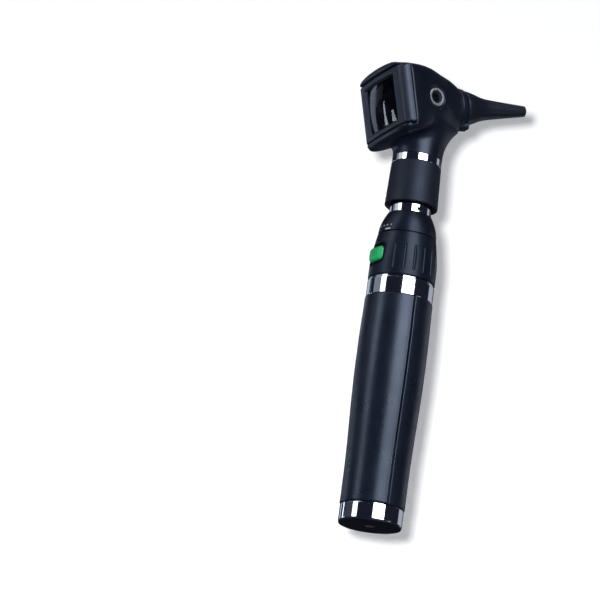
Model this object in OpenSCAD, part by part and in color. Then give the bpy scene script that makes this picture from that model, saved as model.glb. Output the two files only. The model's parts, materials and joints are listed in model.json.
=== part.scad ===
// Diagnostic otoscope on a rechargeable handle, drawn as separate pieces.
// Frame: origin at the centre of the flat base, +Z up the handle, +X forward
// along the speculum, +Y to the user's left. Sizes are in millimetres.

/* [Handle] */
// outer radius of the chrome ring at the base
base_radius = 14.9; // [14.5:0.1:15.4]
// height of the chrome ring at the base
base_ring_height = 7.7; // [6.5:0.1:9]
// length of the grip shells
grip_length = 100; // [94:1:110]
// radius at the foot of the grip
grip_foot_radius = 15.2; // [14.9:0.1:15.6]
// largest radius of the grip
grip_max_radius = 16.5; // [16.1:0.1:17.2]
// radius at the top of the grip
grip_top_radius = 16.1; // [15.9:0.1:16.4]
// wall of the grip shells
grip_wall = 2; // [1.6:0.1:2.2]
// width of the mould line between the grip shells
grip_seam = 0.4; // [0.2:0.1:0.6]
// turn of the handle's button and mould line against the head
handle_twist = 4; // [0:1:12]

/* [Brightness collar] */
// height of the wide chrome ring below the collar
wide_ring_height = 8; // [7:0.1:9]
// outer radius of the wide chrome ring
wide_ring_radius = 15.85; // [15.6:0.05:16.1]
// height of the turning collar
collar_height = 21.8; // [20.5:0.1:24]
// radius at the foot of the turning collar
collar_radius = 15.95; // [15.6:0.05:16.3]
// radius at the top of the turning collar
collar_top_radius = 14; // [13.7:0.1:14.4]
// number of places for grip flutes round the collar
flute_places = 20; // [16:1:22]
// width of a grip flute
flute_width = 1.7; // [1.2:0.1:2]
// depth of a grip flute
flute_depth = 0.5; // [0.3:0.1:0.6]
// width of the lock button
button_width = 12; // [10:0.5:12.5]
// height of the lock button
button_height = 6.6; // [6:0.2:7]
// how far the lock button stands out of the collar
button_stand = 1.3; // [1:0.1:1.6]
// travel of the lock button
button_travel = 1; // [0.8:0.1:1.1]

/* [Bayonet] */
// height of the dome above the collar
dome_height = 11; // [10:0.5:13]
// outer radius of the bayonet stub
stub_radius = 10; // [9.7:0.05:10.1]
// free height of the stub between dome and sleeve
stub_show = 4.5; // [4:0.1:6]
// height of the socket sleeve
sleeve_height = 20.7; // [20:0.1:24]
// radius at the foot of the socket sleeve
sleeve_foot_radius = 12.75; // [12.4:0.05:13]
// height of the chrome ring at the neck
neck_ring_height = 3.7; // [3:0.1:4.5]
// outer radius of the neck
neck_radius = 11.9; // [11.7:0.05:12.2]
// turn that frees the head from the stub
bayonet_turn = 45; // [30:5:50]

/* [Head] */
// upward tilt of the optical axis
head_tilt = 12.6; // [10:0.2:14]
// further tilt of the lens slide
slide_tilt = 2.5; // [0:0.5:4]
// width of the lens slide
slide_width = 47; // [44:0.5:49]
// height of the lens slide
slide_height = 27.9; // [26:0.1:28.6]
// thickness of the lens slide
slide_depth = 5.2; // [4.8:0.1:5.8]
// radius of the curved track in which the lens slides
track_radius = 180; // [150:5:240]
// thickness of the flange above the slide
roof_flange = 3; // [2.6:0.1:4]
// thickness of the flange below the slide
chin_flange = 4.3; // [4:0.1:5.2]
// length of the housing along the optical axis
housing_length = 38.5; // [37.5:0.5:40]
// radius of the front barrel
barrel_radius = 9.9; // [9.7:0.1:10.4]
// radius of the bore in the front barrel
barrel_bore = 8.4; // [8.1:0.1:8.6]
// outer radius of the chrome port ring
port_radius = 4.6; // [4.2:0.1:5]
// radius of the port's bore
port_bore = 2.2; // [1.8:0.1:2.6]

/* [Lens] */
// width of the lens opening
lens_width = 30; // [28:0.5:32]
// height of the lens opening
lens_height = 21.6; // [20:0.2:22]
// radius of the lens surface
lens_curve = 75; // [60:5:100]

/* [Speculum] */
// visible length of the speculum
speculum_length = 34; // [30:1:40]
// outer radius at the speculum's tip
tip_radius = 2.4; // [2.3:0.05:2.8]
// wall of the speculum
speculum_wall = 0.75; // [0.6:0.05:0.8]

/* [Clearances] */
// gap between pieces that turn or slide past each other
move_gap = 0.35; // [0.3:0.05:0.45]
// radial gap of running fits
run_gap = 0.06; // [0.03:0.01:0.1]

/* [Hidden] */
$fn = 64;

// End cap, base ring and battery
cap_flange = 0.8;
ring_wall = 1.3;
cap_plug = 11;
contact_radius = 3;
contact_depth = 3;
base_top = cap_flange + base_ring_height;
spring_radius = 7;
spring_wall = 0.8;
spring_z0 = base_top + 3;
battery_z0 = spring_z0 + 12.4;
battery_nose = 1.2;
disc_radius = 4;
disc_height = 0.8;

// Levels up the handle
grip_z0 = base_top + move_gap;
grip_z1 = grip_z0 + grip_length;
wide_z1 = grip_z1 + wide_ring_height;
lip_height = 1;
lip_z1 = wide_z1 + lip_height;
collar_z0 = lip_z1 + move_gap;
collar_z1 = collar_z0 + collar_height;
dome_z0 = collar_z1 + move_gap;
dome_z1 = dome_z0 + dome_height;
sleeve_z0 = dome_z1 + stub_show;
sleeve_z1 = sleeve_z0 + sleeve_height;
neck_z0 = sleeve_z1 + neck_ring_height;

// Inside of the handle
tube_radius = grip_foot_radius - grip_wall;
tube_bore = tube_radius - 0.8;
tube_z1 = grip_z1 - 3;
seam_depth = 0.5;
grip_steps = 24;
core_land = 11.6;
core_waist = 9.6;
core_bore = 6;
core_spigot = stub_radius - ring_wall;
core_z1 = dome_z1 + 3;
land_height = 5;
rod_radius = 1.5;
rod_z0 = grip_z1 - 11.5;
edge = 0.3;

// Turning collar and lock button
flute_z = collar_z0 + 9;
flute_half = 5.8;
flute_lean = 3.6;
flute_spread = 0.83;
button_z = collar_z0 + 10.6;
button_face = 15.6 + button_stand;
button_back = button_face - 2.5;
button_corner = 2;
pocket_floor = button_back - button_travel - 0.7;
pocket_rise = 2.1;
pocket_corner = 3.2;
stem_radius = 1.5;
stem_tip = core_waist + button_travel + 0.5;
coil_seat = button_back + 0.7;
coil_radius = 2.4;
coil_wall = 0.5;
wiper_radius = 13.2;
wiper_size = [2, 3];
wiper_angle = 60;
track_height = 0.6;

// Bayonet, lamp and neck
stub_z0 = dome_z1 - 2.3;
stub_z1 = sleeve_z0 + 17.2;
catch_count = 3;
catch_angle = -90;
notch_size = [0.9, 3.2, 1.6];
socket_radius = 11;
socket_bore = stub_radius + run_gap;
socket_z0 = sleeve_z0 + 1.8;
socket_z1 = neck_z0 + 3.8;
pin_z = sleeve_z0 + 6.6;
pin_radius = 1.1;
lamp_z0 = stub_z1 + 1;
lamp_step = 2;
bulb_radius = 2.8;
bulb_height = 1.4;
neck_bore = 9;
neck_bore_height = 20;

// Head, measured along and across the optical axis
rear_x = -21.7;
rear_z = neck_z0 + 22.2;
half_slide = slide_width / 2;
track_sag = track_radius - sqrt(track_radius * track_radius - half_slide * half_slide);
track_centre = track_radius - track_sag;
seam_radius = track_radius - slide_depth;
slot_half = slide_height / 2 + move_gap;
roof_half = slot_half + roof_flange;
chin_half = slot_half + chin_flange;
front_u = housing_length + 3.2;
rim_u = front_u + 0.8;
tip_u = rim_u + speculum_length;
cavity_radius = 13.2;
housing_rings = 15;
housing_sides = 56;
neck_sides = 56;
neck_rings = 20;
fan_height = 30;
fan_last = 84;
flare_height = 17.8;
flare_side = 2;
flare_rear = 2.5;
flare_cap = 12;
flare_drop = rear_z - neck_z0 - flare_height;
flare_x = rear_x + (housing_length - 0.25 + flare_drop * sin(head_tilt)) / cos(head_tilt);
flare_front = flare_x - neck_radius - flare_side;
fillet = 5;
fillet_reach = 9;
fillet_sink = 0.12;
port_place = [19.7, -12.3, 0.3];
port_turn = 13;
port_face = 4.3;
port_wall = 0.9;
guide_radius = 1.5;
guide_drop = barrel_bore - guide_radius - 0.3;
guide_bend = 10;
guide_steps = 10;
guide_sides = 20;

// Lens slide and its track ribs
rib_in = 3.1;
rib_out = 2.1;
rib_depth = 0.9;
slide_corner_radius = 2.5;
lens_corner = 1.6;
lens_lip = 0.8;
lens_seat = 2.2;
bevel_side = 2.6;
bevel_top = 1.2;

// Speculum and the cone that carries it
speculum_rim = 7.9;
speculum_waist = 4.75;
waist_share = 0.36;
speculum_steps = 24;
nose_shoulder = 6.6;
nose_tip_u = rim_u + 12.5;
nose_bore = 4.9;
nose_tip_bore = 2.4;
catch_plate = [7, 3, 6];

function smooth(t) = let (c = min(1, max(0, t))) c * c * (3 - 2 * c);
function mix(a, b, t) = a + (b - a) * t;
function spow(v, p) = sign(v) * pow(abs(v), p);
function slope_at(t) = 1 - (smooth(t) + min(1, max(0, t))) / 2;

// Smaller of two distances, rounded over a band of width k.
function soft_min(a, b, k) = let (h = max(0, k - abs(a - b)) / k) min(a, b) - h * h * k / 4;

// Places children in the frame of the optical axis: X along it, Z square to it.
module head_frame() translate([rear_x, 0, rear_z]) rotate([0, -head_tilt, 0]) children();

// Places children in the frame of the lens slide, whose track turns about Z.
module slide_frame() head_frame() rotate([0, -slide_tilt, 0]) children();

// Turns children with the handle.
module handle_frame() rotate([0, 0, handle_twist]) children();

module rod(r, z0, z1) translate([0, 0, z0]) cylinder(r = r, h = z1 - z0);

module tube(r1, r2, z0, z1) difference() {
    rod(r1, z0, z1);
    rod(r2, z0 - 1, z1 + 1);
}

// A revolve about the optical axis; points are [distance along it, radius].
module axis_turn(points) rotate([0, 90, 0]) rotate_extrude() polygon([for (p = points) [p[1], p[0]]]);

// A plate with round corners, thickness along X, centred in Y and Z.
module plate(w, h, t, r) {
    rotate([90, 0, 90]) linear_extrude(height = t) union() {
        square([w - 2 * r, h], center = true);
        square([w, h - 2 * r], center = true);
        for (sx = [-1, 1], sy = [-1, 1])
            translate([sx * (w / 2 - r), sy * (h / 2 - r)]) circle(r = r);
    }
}

// The rear band of the curved track between two radii and two heights.
module track_band(r0, r1, z0, z1) {
    reach = track_radius + slide_width;
    translate([track_centre, 0, z0]) difference() {
        cylinder(r = r1, h = z1 - z0, $fn = 180);
        translate([0, 0, -1]) cylinder(r = r0, h = z1 - z0 + 2, $fn = 180);
        translate([-track_radius / 15, -reach, -1]) cube([reach, 2 * reach, z1 - z0 + 2]);
    }
}

// Closed skin through rings of points, all rings of the same length.
module skin(rings) {
    n = len(rings[0]);
    m = len(rings);
    pts = [for (r = rings) each r];
    side = [for (i = [0 : m - 2], j = [0 : n - 1]) let (k = (j + 1) % n)
        each [[i * n + j, (i + 1) * n + j, i * n + k], [i * n + k, (i + 1) * n + j, (i + 1) * n + k]]];
    foot = [for (j = [1 : n - 2]) [0, j, j + 1]];
    head = [for (j = [1 : n - 2]) [(m - 1) * n, (m - 1) * n + j + 1, (m - 1) * n + j]];
    polyhedron(points = pts, faces = concat(side, foot, head), convexity = 6);
}

// Half width, height above and below the axis, roof crown and squareness of the housing
// at distance u along the optical axis.
function housing_section(u) = let (f = min(1, max(0, u / housing_length)))
    [mix(barrel_radius, half_slide - 0.2, slope_at((f - 0.12) / 0.86)),
     mix(barrel_radius, roof_half, 1 - pow(max(0, f - 0.2) / 0.8, 3.4)),
     mix(barrel_radius, chin_half, 1 - smooth((f - 0.02) / 0.93)),
     1.2 * (1 - smooth(f / 0.7)),
     2 + 6 * (1 - smooth((f - 0.1) / 0.75))];

// Ring of the housing's skin at u, drawn in the plane at place.
function housing_ring(u, place, n) = let (s = housing_section(u), p = 2 / s[4])
    [for (j = [0 : n - 1]) let (a = 360 * (j + 0.5) / n,
        h = sin(a) > 0 ? s[1] - s[3] * pow(abs(cos(a)), 2 * p) : s[2])
        [place, s[0] * spow(cos(a), p), h * spow(sin(a), p)]];

// Distance, about, from a point of the main frame to the housing's skin; negative inside.
function housing_distance(q) = let (
        x = q[0] - rear_x,
        z = q[2] - rear_z,
        s = housing_section(x * cos(head_tilt) + z * sin(head_tilt)),
        w = z * cos(head_tilt) - x * sin(head_tilt),
        h = w > 0 ? s[1] : s[2],
        p = s[4])
    (pow(pow(abs(q[1]) / s[0], p) + pow(abs(w) / h, p), 1 / p) - 1) * min(s[0], h);

// Radius of the bare neck at angle a and height z above its foot.
function neck_reach(a, z) = let (
        f = pow(min(1, max(0, z) / flare_height), 2.2),
        cap = sqrt(max(0, 1 - pow(max(0, z - flare_height) / flare_cap, 2))))
    cap * (neck_radius + f * (flare_side + flare_front * pow(max(0, cos(a)), 6)
        + flare_rear * pow(max(0, -cos(a)), 2)));

// Distance from the neck and housing together, with a fillet between them.
function blend_distance(r, a, z) = soft_min(r - neck_reach(a, z),
    housing_distance([r * cos(a), r * sin(a), neck_z0 + z]) + fillet_sink, fillet);

// Height on the ray that leaves the neck's axis at fan_height and falls at angle t from it.
function fan_z(r, t) = fan_height - r / tan(t);

// First radius, going outwards from r, at which that ray reaches the blended skin.
function blend_radius(r, a, t, step, last) =
    r > last ? last
    : blend_distance(r, a, fan_z(r, t)) < 0 ? blend_radius(r + step, a, t, step, last)
    : step > 0.01 ? blend_radius(r - step, a, t, step / 4, last) : r;

// Ring of the neck's skin on the cone of rays at angle t, with its fillet against the housing.
function neck_skin_ring(t, n) = [for (j = [0 : n - 1]) let (
        a = 360 * (j + 0.5) / n,
        r = blend_radius(neck_radius - 3, a, t, 0.5, neck_radius + fillet_reach))
    [r * cos(a), r * sin(a), neck_z0 + fan_z(r, t)]];

// Round ring at the neck's foot.
function neck_foot(n) = [for (j = [0 : n - 1]) let (a = 360 * (j + 0.5) / n)
    [neck_radius * cos(a), neck_radius * sin(a), neck_z0]];

function grip_radius(f) = f < 0.75
    ? mix(grip_foot_radius, grip_max_radius, smooth((f - 0.13) / 0.55))
    : mix(grip_max_radius, grip_top_radius, smooth((f - 0.78) / 0.22));

module end_cap() color("#202226") difference() {
    union() {
        rotate_extrude() polygon([[0, 0], [base_radius - 0.6, 0], [base_radius - 0.2, 0.4],
            [base_radius - 0.2, cap_flange], [0, cap_flange]]);
        rod(base_radius - ring_wall, cap_flange, base_top);
        rod(tube_bore - 0.1, base_top, base_top + cap_plug);
    }
    rod(contact_radius, -1, contact_depth);
    rod(spring_radius + 1, spring_z0, base_top + cap_plug + 1);
}

module base_ring() color("#d8d8da") tube(base_radius, base_radius - ring_wall, cap_flange, base_top);

module charge_contact() color("#c9a24a") rod(contact_radius, 0, contact_depth);

module battery_spring() color("#b9bbbe")
    tube(spring_radius, spring_radius - spring_wall, spring_z0, battery_z0);

module grip_shell(side) intersection() {
    reach = grip_max_radius + 5;
    difference() {
        translate([0, 0, grip_z0]) rotate_extrude() polygon(concat(
            [[tube_radius, 0]],
            [for (i = [0 : grip_steps]) let (f = i / grip_steps) [grip_radius(f), grip_length * f]],
            [[tube_radius, grip_length]]));
        for (s = [0, 1]) mirror([0, s, 0])
            translate([-grip_seam / 2, grip_foot_radius - seam_depth, grip_z0 - 1])
            cube([grip_seam, 5, grip_length + 2]);
    }
    translate([side > 0 ? 0 : -reach, -reach, grip_z0 - 1]) cube([reach, 2 * reach, grip_length + 2]);
}

module rear_grip_shell() color("#1c1e22") handle_frame() grip_shell(-1);

module front_grip_shell() color("#1c1e22") handle_frame() grip_shell(1);

module battery_tube() color("#a9acb0") tube(tube_radius, tube_bore, base_top + 1.5, tube_z1);

module battery_pack() color("#3b5a7a") {
    rod(tube_bore, battery_z0, rod_z0 - battery_nose);
    rod(contact_radius, rod_z0 - battery_nose, rod_z0);
}

module battery_contact() color("#c9a24a") rod(disc_radius, rod_z0, rod_z0 + disc_height);

module contact_block() color("#d9d4c4") difference() {
    rod(tube_bore, rod_z0, tube_z1 - 1.5);
    rod(disc_radius, rod_z0 - 1, rod_z0 + disc_height);
    rod(rod_radius, rod_z0, grip_z1);
}

module contact_rod() color("#c9a24a") rod(rod_radius, rod_z0 + disc_height, lamp_z0 - 1.7);

module wide_ring() color("#d8d8da") rotate_extrude() polygon([
    [tube_radius, grip_z1], [wide_ring_radius - edge, grip_z1], [wide_ring_radius, grip_z1 + edge],
    [wide_ring_radius, wide_z1 - edge], [wide_ring_radius - edge, wide_z1],
    [wide_ring_radius - 0.5, wide_z1], [wide_ring_radius - 0.5, lip_z1],
    [wide_ring_radius - 1, lip_z1], [wide_ring_radius - 1, wide_z1], [tube_radius, wide_z1]]);

module handle_core() color("#8e9196") difference() {
    rotate_extrude() polygon([[0, tube_z1], [tube_radius, tube_z1], [tube_radius, wide_z1],
        [core_land, wide_z1], [core_land, collar_z0 + land_height], [core_waist, collar_z0 + land_height],
        [core_waist, collar_z1 - land_height], [core_land, collar_z1 - land_height], [core_land, dome_z0],
        [core_spigot, dome_z0], [core_spigot, core_z1], [0, core_z1]]);
    rod(core_bore, tube_z1 - 1, core_z1 + 1);
}

module rheostat_track() color("#5a4632")
    tube(wide_ring_radius - 1.2, core_land, wide_z1, wide_z1 + track_height);

module collar_body() {
    steps = 12;
    bore = core_land + run_gap;
    rotate_extrude() polygon(concat(
        [[bore, collar_z0], [collar_radius - edge, collar_z0], [collar_radius, collar_z0 + 0.5]],
        [for (i = [0 : steps]) let (f = i / steps)
            [mix(collar_radius, collar_top_radius, pow(f, 1.5)), collar_z0 + collar_height * mix(0.3, 1, f)]],
        [[bore, collar_z1]]));
}

// One upright grip flute, cut with its middle at the origin.
module flute() union() {
    r = flute_width / 2;
    translate([0, 0, -flute_half]) cylinder(r = r, h = 2 * flute_half, $fn = 24);
    for (s = [-1, 1]) translate([0, 0, s * flute_half]) sphere(r = r, $fn = 24);
}

module rheostat_collar() color("#1f2125") handle_frame() difference() {
    collar_body();
    for (i = [0 : flute_places - 1]) let (a = 360 * (i + 0.5) / flute_places)
        if (cos(a) < flute_spread) rotate([0, 0, a + 180])
        translate([mix(collar_radius, collar_top_radius, 0.16) + flute_width / 2 - flute_depth, 0, flute_z])
        rotate([0, -flute_lean, 0]) flute();
    translate([-pocket_floor - 6, 0, button_z])
        plate(button_width + 2 * move_gap, button_height + 2 * pocket_rise, 6, pocket_corner);
    translate([-collar_radius, 0, button_z]) rotate([0, 90, 0])
        cylinder(r = stem_radius + run_gap, h = collar_radius - core_waist);
    wiper_place() translate([0, 0, -1]) wiper_block(collar_z0, collar_z0 + 2.2);
}

module wiper_place() rotate([0, 0, wiper_angle]) translate([wiper_radius, 0, 0]) children();

module wiper_block(z0, z1) translate([-wiper_size[0] / 2, -wiper_size[1] / 2, z0])
    cube([wiper_size[0], wiper_size[1], z1 - z0]);

module rheostat_wiper() color("#c9a24a") handle_frame() wiper_place()
    wiper_block(wide_z1 + track_height + 0.3, collar_z0 + 1.2);

module lock_button() color("#2fae6d") handle_frame() difference() {
    union() {
        intersection() {
            translate([-button_back - 5.6, 0, button_z])
                plate(button_width, button_height, 5.6, button_corner);
            rod(button_face, button_z - button_height, button_z + button_height);
        }
        translate([-button_back - 0.6, 0, button_z]) rotate([0, 90, 0])
            cylinder(r = stem_radius, h = button_back + 0.6 - stem_tip);
    }
    translate([-coil_seat, 0, button_z]) rotate([0, 90, 0]) difference() {
        cylinder(r = coil_radius + 0.5, h = 2);
        translate([0, 0, -1]) cylinder(r = stem_radius, h = 4);
    }
}

module button_spring() color("#b9bbbe") handle_frame()
    translate([-coil_seat + 0.3, 0, button_z]) rotate([0, 90, 0]) difference() {
        cylinder(r = coil_radius, h = coil_seat - 0.3 - pocket_floor);
        translate([0, 0, -1]) cylinder(r = coil_radius - coil_wall, h = 6);
    }

module dome() color("#1d1f23") difference() {
    steps = 12;
    foot = collar_top_radius - 0.1;
    rotate_extrude() polygon(concat([[core_spigot, dome_z0], [foot, dome_z0]],
        [for (i = [1 : steps]) let (f = i / steps)
            [mix(foot, stub_radius + 0.5, pow(f, 1.9)), dome_z0 + dome_height * f]],
        [[core_spigot, dome_z1]]));
    rod(stub_radius, stub_z0, dome_z1 + 1);
}

// Repeats children at the places of the bayonet pins.
module catches() for (i = [0 : catch_count - 1])
    rotate([0, 0, catch_angle + 360 / catch_count * i]) children();

module bayonet_stub() color("#d0d1d4") handle_frame() difference() {
    half = pin_radius + move_gap;
    spare = 9;
    tube(stub_radius, core_spigot, stub_z0, stub_z1);
    catches() {
        intersection() {
            tube(stub_radius + 1, core_spigot - 0.4, pin_z - half, pin_z + half);
            rotate([0, 0, -spare]) rotate_extrude(angle = bayonet_turn + 2 * spare)
                translate([stub_radius / 2, pin_z - stub_radius / 2]) square(stub_radius);
        }
        rotate([0, 0, bayonet_turn]) translate([core_spigot - 0.5, -half - 0.15, pin_z])
            cube([3, 2 * half + 0.3, stub_z1 - pin_z + 1]);
    }
    rotate([0, 0, catch_angle]) translate([stub_radius - notch_size[0], -notch_size[1] / 2, dome_z1 + 0.9])
        cube([3, notch_size[1], notch_size[2]]);
}

module contact_insulator() color("#d9d4c4") difference() {
    rod(core_spigot, core_z1, stub_z1 - 2.5);
    rod(rod_radius, dome_z1, stub_z1);
}

module socket_sleeve() color("#202226") rotate_extrude() polygon([
    [stub_radius + 0.7, sleeve_z0 + 0.9], [sleeve_foot_radius - 0.9, sleeve_z0],
    [sleeve_foot_radius - edge, sleeve_z0], [sleeve_foot_radius, sleeve_z0 + 0.6],
    [neck_radius + 0.1, sleeve_z1 - edge], [neck_radius - 0.2, sleeve_z1],
    [socket_radius, sleeve_z1], [socket_radius, socket_z0], [stub_radius + 0.7, socket_z0]]);

module bayonet_socket() color("#b4b6ba") {
    tube(socket_radius, socket_bore, socket_z0, socket_z1);
    handle_frame() catches() translate([core_spigot + 0.5, 0, pin_z]) rotate([0, 90, 0])
        cylinder(r = pin_radius, h = socket_radius - core_spigot - 1, $fn = 32);
}

module neck_ring() color("#d8d8da") tube(neck_radius - 0.05, socket_radius, sleeve_z1, neck_z0);

// Outer skin of the housing, from behind the curved rear face to the barrel's front.
module housing_shell() head_frame() skin(concat(
    [housing_ring(0, -track_sag - 5, housing_sides)],
    [for (i = [0 : housing_rings]) let (u = housing_length * i / housing_rings)
        housing_ring(u, u, housing_sides)]));

// Flared neck with its fillet, cut flush with the barrel's front.
module neck_shell() intersection() {
    first = atan(neck_radius / fan_height);
    skin(concat([neck_foot(neck_sides)], [for (i = [1 : neck_rings])
        neck_skin_ring(mix(first, fan_last, pow(i / neck_rings, 1.4)), neck_sides)]));
    head_frame() translate([-housing_length, -slide_width, -2 * slide_width])
        cube([2 * housing_length, 2 * slide_width, 4 * slide_width]);
}

module head_housing() color("#1e2024") difference() {
    union() {
        intersection() {
            union() {
                housing_shell();
                neck_shell();
            }
            slide_frame() translate([track_centre, 0, -2 * chin_half])
                cylinder(r = track_radius + 0.5, h = 4 * chin_half, $fn = 180);
        }
        head_frame() port_seat() cylinder(r = port_radius + 1, h = port_face + 1.4);
    }
    rod(socket_radius, neck_z0 - 1, socket_z1);
    rod(neck_bore, neck_z0, neck_z0 + neck_bore_height);
    head_frame() {
        rotate([0, 90, 0]) translate([0, 0, -8])
            cylinder(r1 = cavity_radius, r2 = barrel_bore, h = housing_length + 2);
        rotate([0, 90, 0]) cylinder(r = barrel_bore, h = housing_length + 5);
        port_seat() translate([0, 0, -8]) cylinder(r = port_radius - port_wall, h = 20);
        port_seat() translate([0, 0, port_face]) cylinder(r = port_radius, h = 4);
    }
    slide_frame() difference() {
        track_band(seam_radius - move_gap, track_radius + 20, -slot_half, slot_half);
        for (s = [-1, 1]) track_band(track_radius - rib_in, track_radius - rib_out,
            s * slot_half - rib_depth, s * slot_half + rib_depth);
    }
}

// Frame of the side port, its Z pointing out of the housing.
module port_seat() translate(port_place) rotate([90, 0, port_turn]) children();

module port_ring() color("#d0d1d4") head_frame() port_seat() difference() {
    union() {
        translate([0, 0, 1]) cylinder(r = port_radius - port_wall, h = port_face);
        translate([0, 0, port_face]) cylinder(r1 = port_radius, r2 = port_radius - edge, h = 1.1);
    }
    cylinder(r = port_bore, h = 12);
    translate([0, 0, port_face + 0.3]) cylinder(r1 = port_bore, r2 = port_bore + 1.1, h = 0.9);
}

module lamp_holder() color("#d9d4c4") difference() {
    rod(socket_bore, lamp_z0, socket_z1);
    rod(rod_radius, lamp_z0 - 1, socket_z1 + 1);
    rod(contact_radius, lamp_z0 + lamp_step, socket_z1 + 1);
}

module lamp_contact() color("#c9a24a") rod(rod_radius, lamp_z0 - 1.3, lamp_z0 + lamp_step);

module lamp_base() color("#b4b6ba") rod(contact_radius, lamp_z0 + lamp_step, socket_z1 + 2);

module lamp_bulb() color("#e8eef2") translate([0, 0, socket_z1 + 2]) {
    cylinder(r = bulb_radius, h = bulb_height);
    translate([0, 0, bulb_height]) intersection() {
        sphere(r = bulb_radius);
        cylinder(r = 2 * bulb_radius, h = 2 * bulb_radius);
    }
}

// Fibre rod that rises from the lamp, bends forward and runs along the barrel's floor.
module light_guide() color("#e6e2d2") {
    turn = 90 - head_tilt;
    bend_x = guide_bend * (1 - cos(turn));
    out_u = (bend_x - rear_x - guide_drop * sin(head_tilt)) / cos(head_tilt);
    bend_z = rear_z - guide_drop * cos(head_tilt) + out_u * sin(head_tilt) - guide_bend * sin(turn);
    run = front_u - out_u;
    path = concat([[0, socket_z1 + 2 + bulb_height + bulb_radius + 0.4, 0]],
        [for (i = [0 : guide_steps]) let (a = turn * i / guide_steps)
            [guide_bend * (1 - cos(a)), bend_z + guide_bend * sin(a), a]],
        [[bend_x + run * cos(head_tilt), bend_z + guide_bend * sin(turn) + run * sin(head_tilt), turn]]);
    skin([for (q = path) [for (j = [0 : guide_sides - 1])
        let (a = 360 * j / guide_sides, x = guide_radius * cos(a))
        [q[0] + x * cos(q[2]), guide_radius * sin(a), q[1] - x * sin(q[2])]]]);
}

// Outer radius of the speculum at distance u along the optical axis.
function speculum_radius(u) = let (s = (u - rim_u) / speculum_length)
    s < waist_share
    ? mix(speculum_rim, speculum_waist, pow(smooth(s / waist_share * 0.88) / smooth(0.88), 0.9))
    : mix(speculum_waist, tip_radius, pow((s - waist_share) / (1 - waist_share), 0.9));

// Outer radius of the nose cone where the speculum sits on it.
function nose_radius(u, gap) = speculum_radius(u) - speculum_wall - gap;

module nose_cone() color("#17181b") head_frame() difference() {
    axis_turn([[housing_length - 2, 0], [housing_length - 2, barrel_bore], [front_u - edge, barrel_bore],
        [front_u - edge, nose_shoulder], [rim_u + 1, nose_shoulder],
        [rim_u + 4, nose_radius(rim_u + 4, run_gap)], [rim_u + 6.5, nose_radius(rim_u + 6.5, run_gap)],
        [rim_u + 9, nose_radius(rim_u + 9, 0.5)], [nose_tip_u, nose_tip_bore + speculum_wall],
        [nose_tip_u, 0]]);
    axis_turn([[housing_length - 3, 0], [housing_length - 3, nose_bore], [nose_tip_u + 0.1, nose_tip_bore],
        [nose_tip_u + 0.1, 0]]);
    translate([0, 0, -guide_drop]) rotate([0, 90, 0]) cylinder(r = guide_radius, h = front_u + 1, $fn = 32);
}

module front_collar() color("#1a1b1f") head_frame() difference() {
    union() {
        axis_turn([[housing_length, 0], [housing_length, barrel_radius], [front_u - 1.9, barrel_radius],
            [front_u - 1.6, barrel_radius + 0.15], [front_u - edge, barrel_radius + 0.15],
            [front_u, barrel_radius - 0.15], [front_u, 0]]);
        translate([housing_length, 0, -barrel_radius + 1.1])
            plate(catch_plate[0], catch_plate[1], catch_plate[2], 1.2);
    }
    translate([housing_length - 1, 0, 0]) rotate([0, 90, 0]) cylinder(r = barrel_bore, h = 20);
    translate([front_u, 0, 0]) rotate([0, 90, 0]) cylinder(r = barrel_bore + 0.2, h = 20);
}

module slide_plan() intersection() {
    track_band(seam_radius, track_radius, -slide_height / 2, slide_height / 2);
    translate([-slide_width, -half_slide, -slide_height])
        cube([2 * slide_width, slide_width, 2 * slide_height]);
}

module lens_frame() color("#1b1d21") slide_frame() difference() {
    slide_plan();
    for (s = [0, 1]) mirror([0, s, 0]) slide_corner();
    for (s = [-1, 1]) track_band(track_radius - rib_in - move_gap, track_radius - rib_out + move_gap,
        s * slide_height / 2 - rib_depth, s * slide_height / 2 + rib_depth);
    translate([-slide_depth - track_sag, 0, 0]) plate(lens_width, lens_height, 4 * slide_depth, lens_corner);
    translate([-track_sag + lens_seat, 0, 0])
        plate(lens_width + 2 * lens_lip, lens_height + 2 * lens_lip, 4 * slide_depth, lens_corner + 0.4);
    opening_bevel();
}

// The slanted faces round the lens opening.
module opening_bevel() {
    function corners(x, w, h) = [[x, -w, -h], [x, w, -h], [x, w, h], [x, -w, h]];
    rear = corners(-track_sag - 0.2, lens_width / 2 + bevel_side, lens_height / 2 + bevel_top);
    front = corners(-track_sag + lens_seat - 0.2, lens_width / 2 - 0.2, lens_height / 2 - 0.2);
    polyhedron(points = concat(rear, front),
        faces = [[0, 1, 2, 3], [7, 6, 5, 4], [4, 5, 1, 0], [5, 6, 2, 1], [6, 7, 3, 2], [7, 4, 0, 3]]);
}

// Cuts one rear corner of the slide round.
module slide_corner() {
    r = slide_corner_radius;
    c = half_slide - r;
    reach = track_radius - r;
    u0 = track_centre - sqrt(reach * reach - c * c);
    translate([0, 0, -slide_height]) difference() {
        translate([u0 - 2 * r, c * track_radius / reach, 0]) cube([2 * r, r + 2, 2 * slide_height]);
        translate([u0, c, -1]) cylinder(r = r, h = 2 * slide_height + 2);
    }
}

module magnifier_lens() color("#cfd8dd") slide_frame() union() {
    translate([-track_sag + lens_seat, 0, 0])
        plate(lens_width + 2 * lens_lip, lens_height + 2 * lens_lip, lens_seat, lens_corner + 0.4);
    intersection() {
        translate([-track_sag - slide_depth / 2, 0, 0])
            plate(lens_width, lens_height, slide_depth / 2 + lens_seat + 1, lens_corner);
        translate([-track_sag + 0.2 + lens_curve, 0, 0]) sphere(r = lens_curve, $fn = 128);
    }
}

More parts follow.
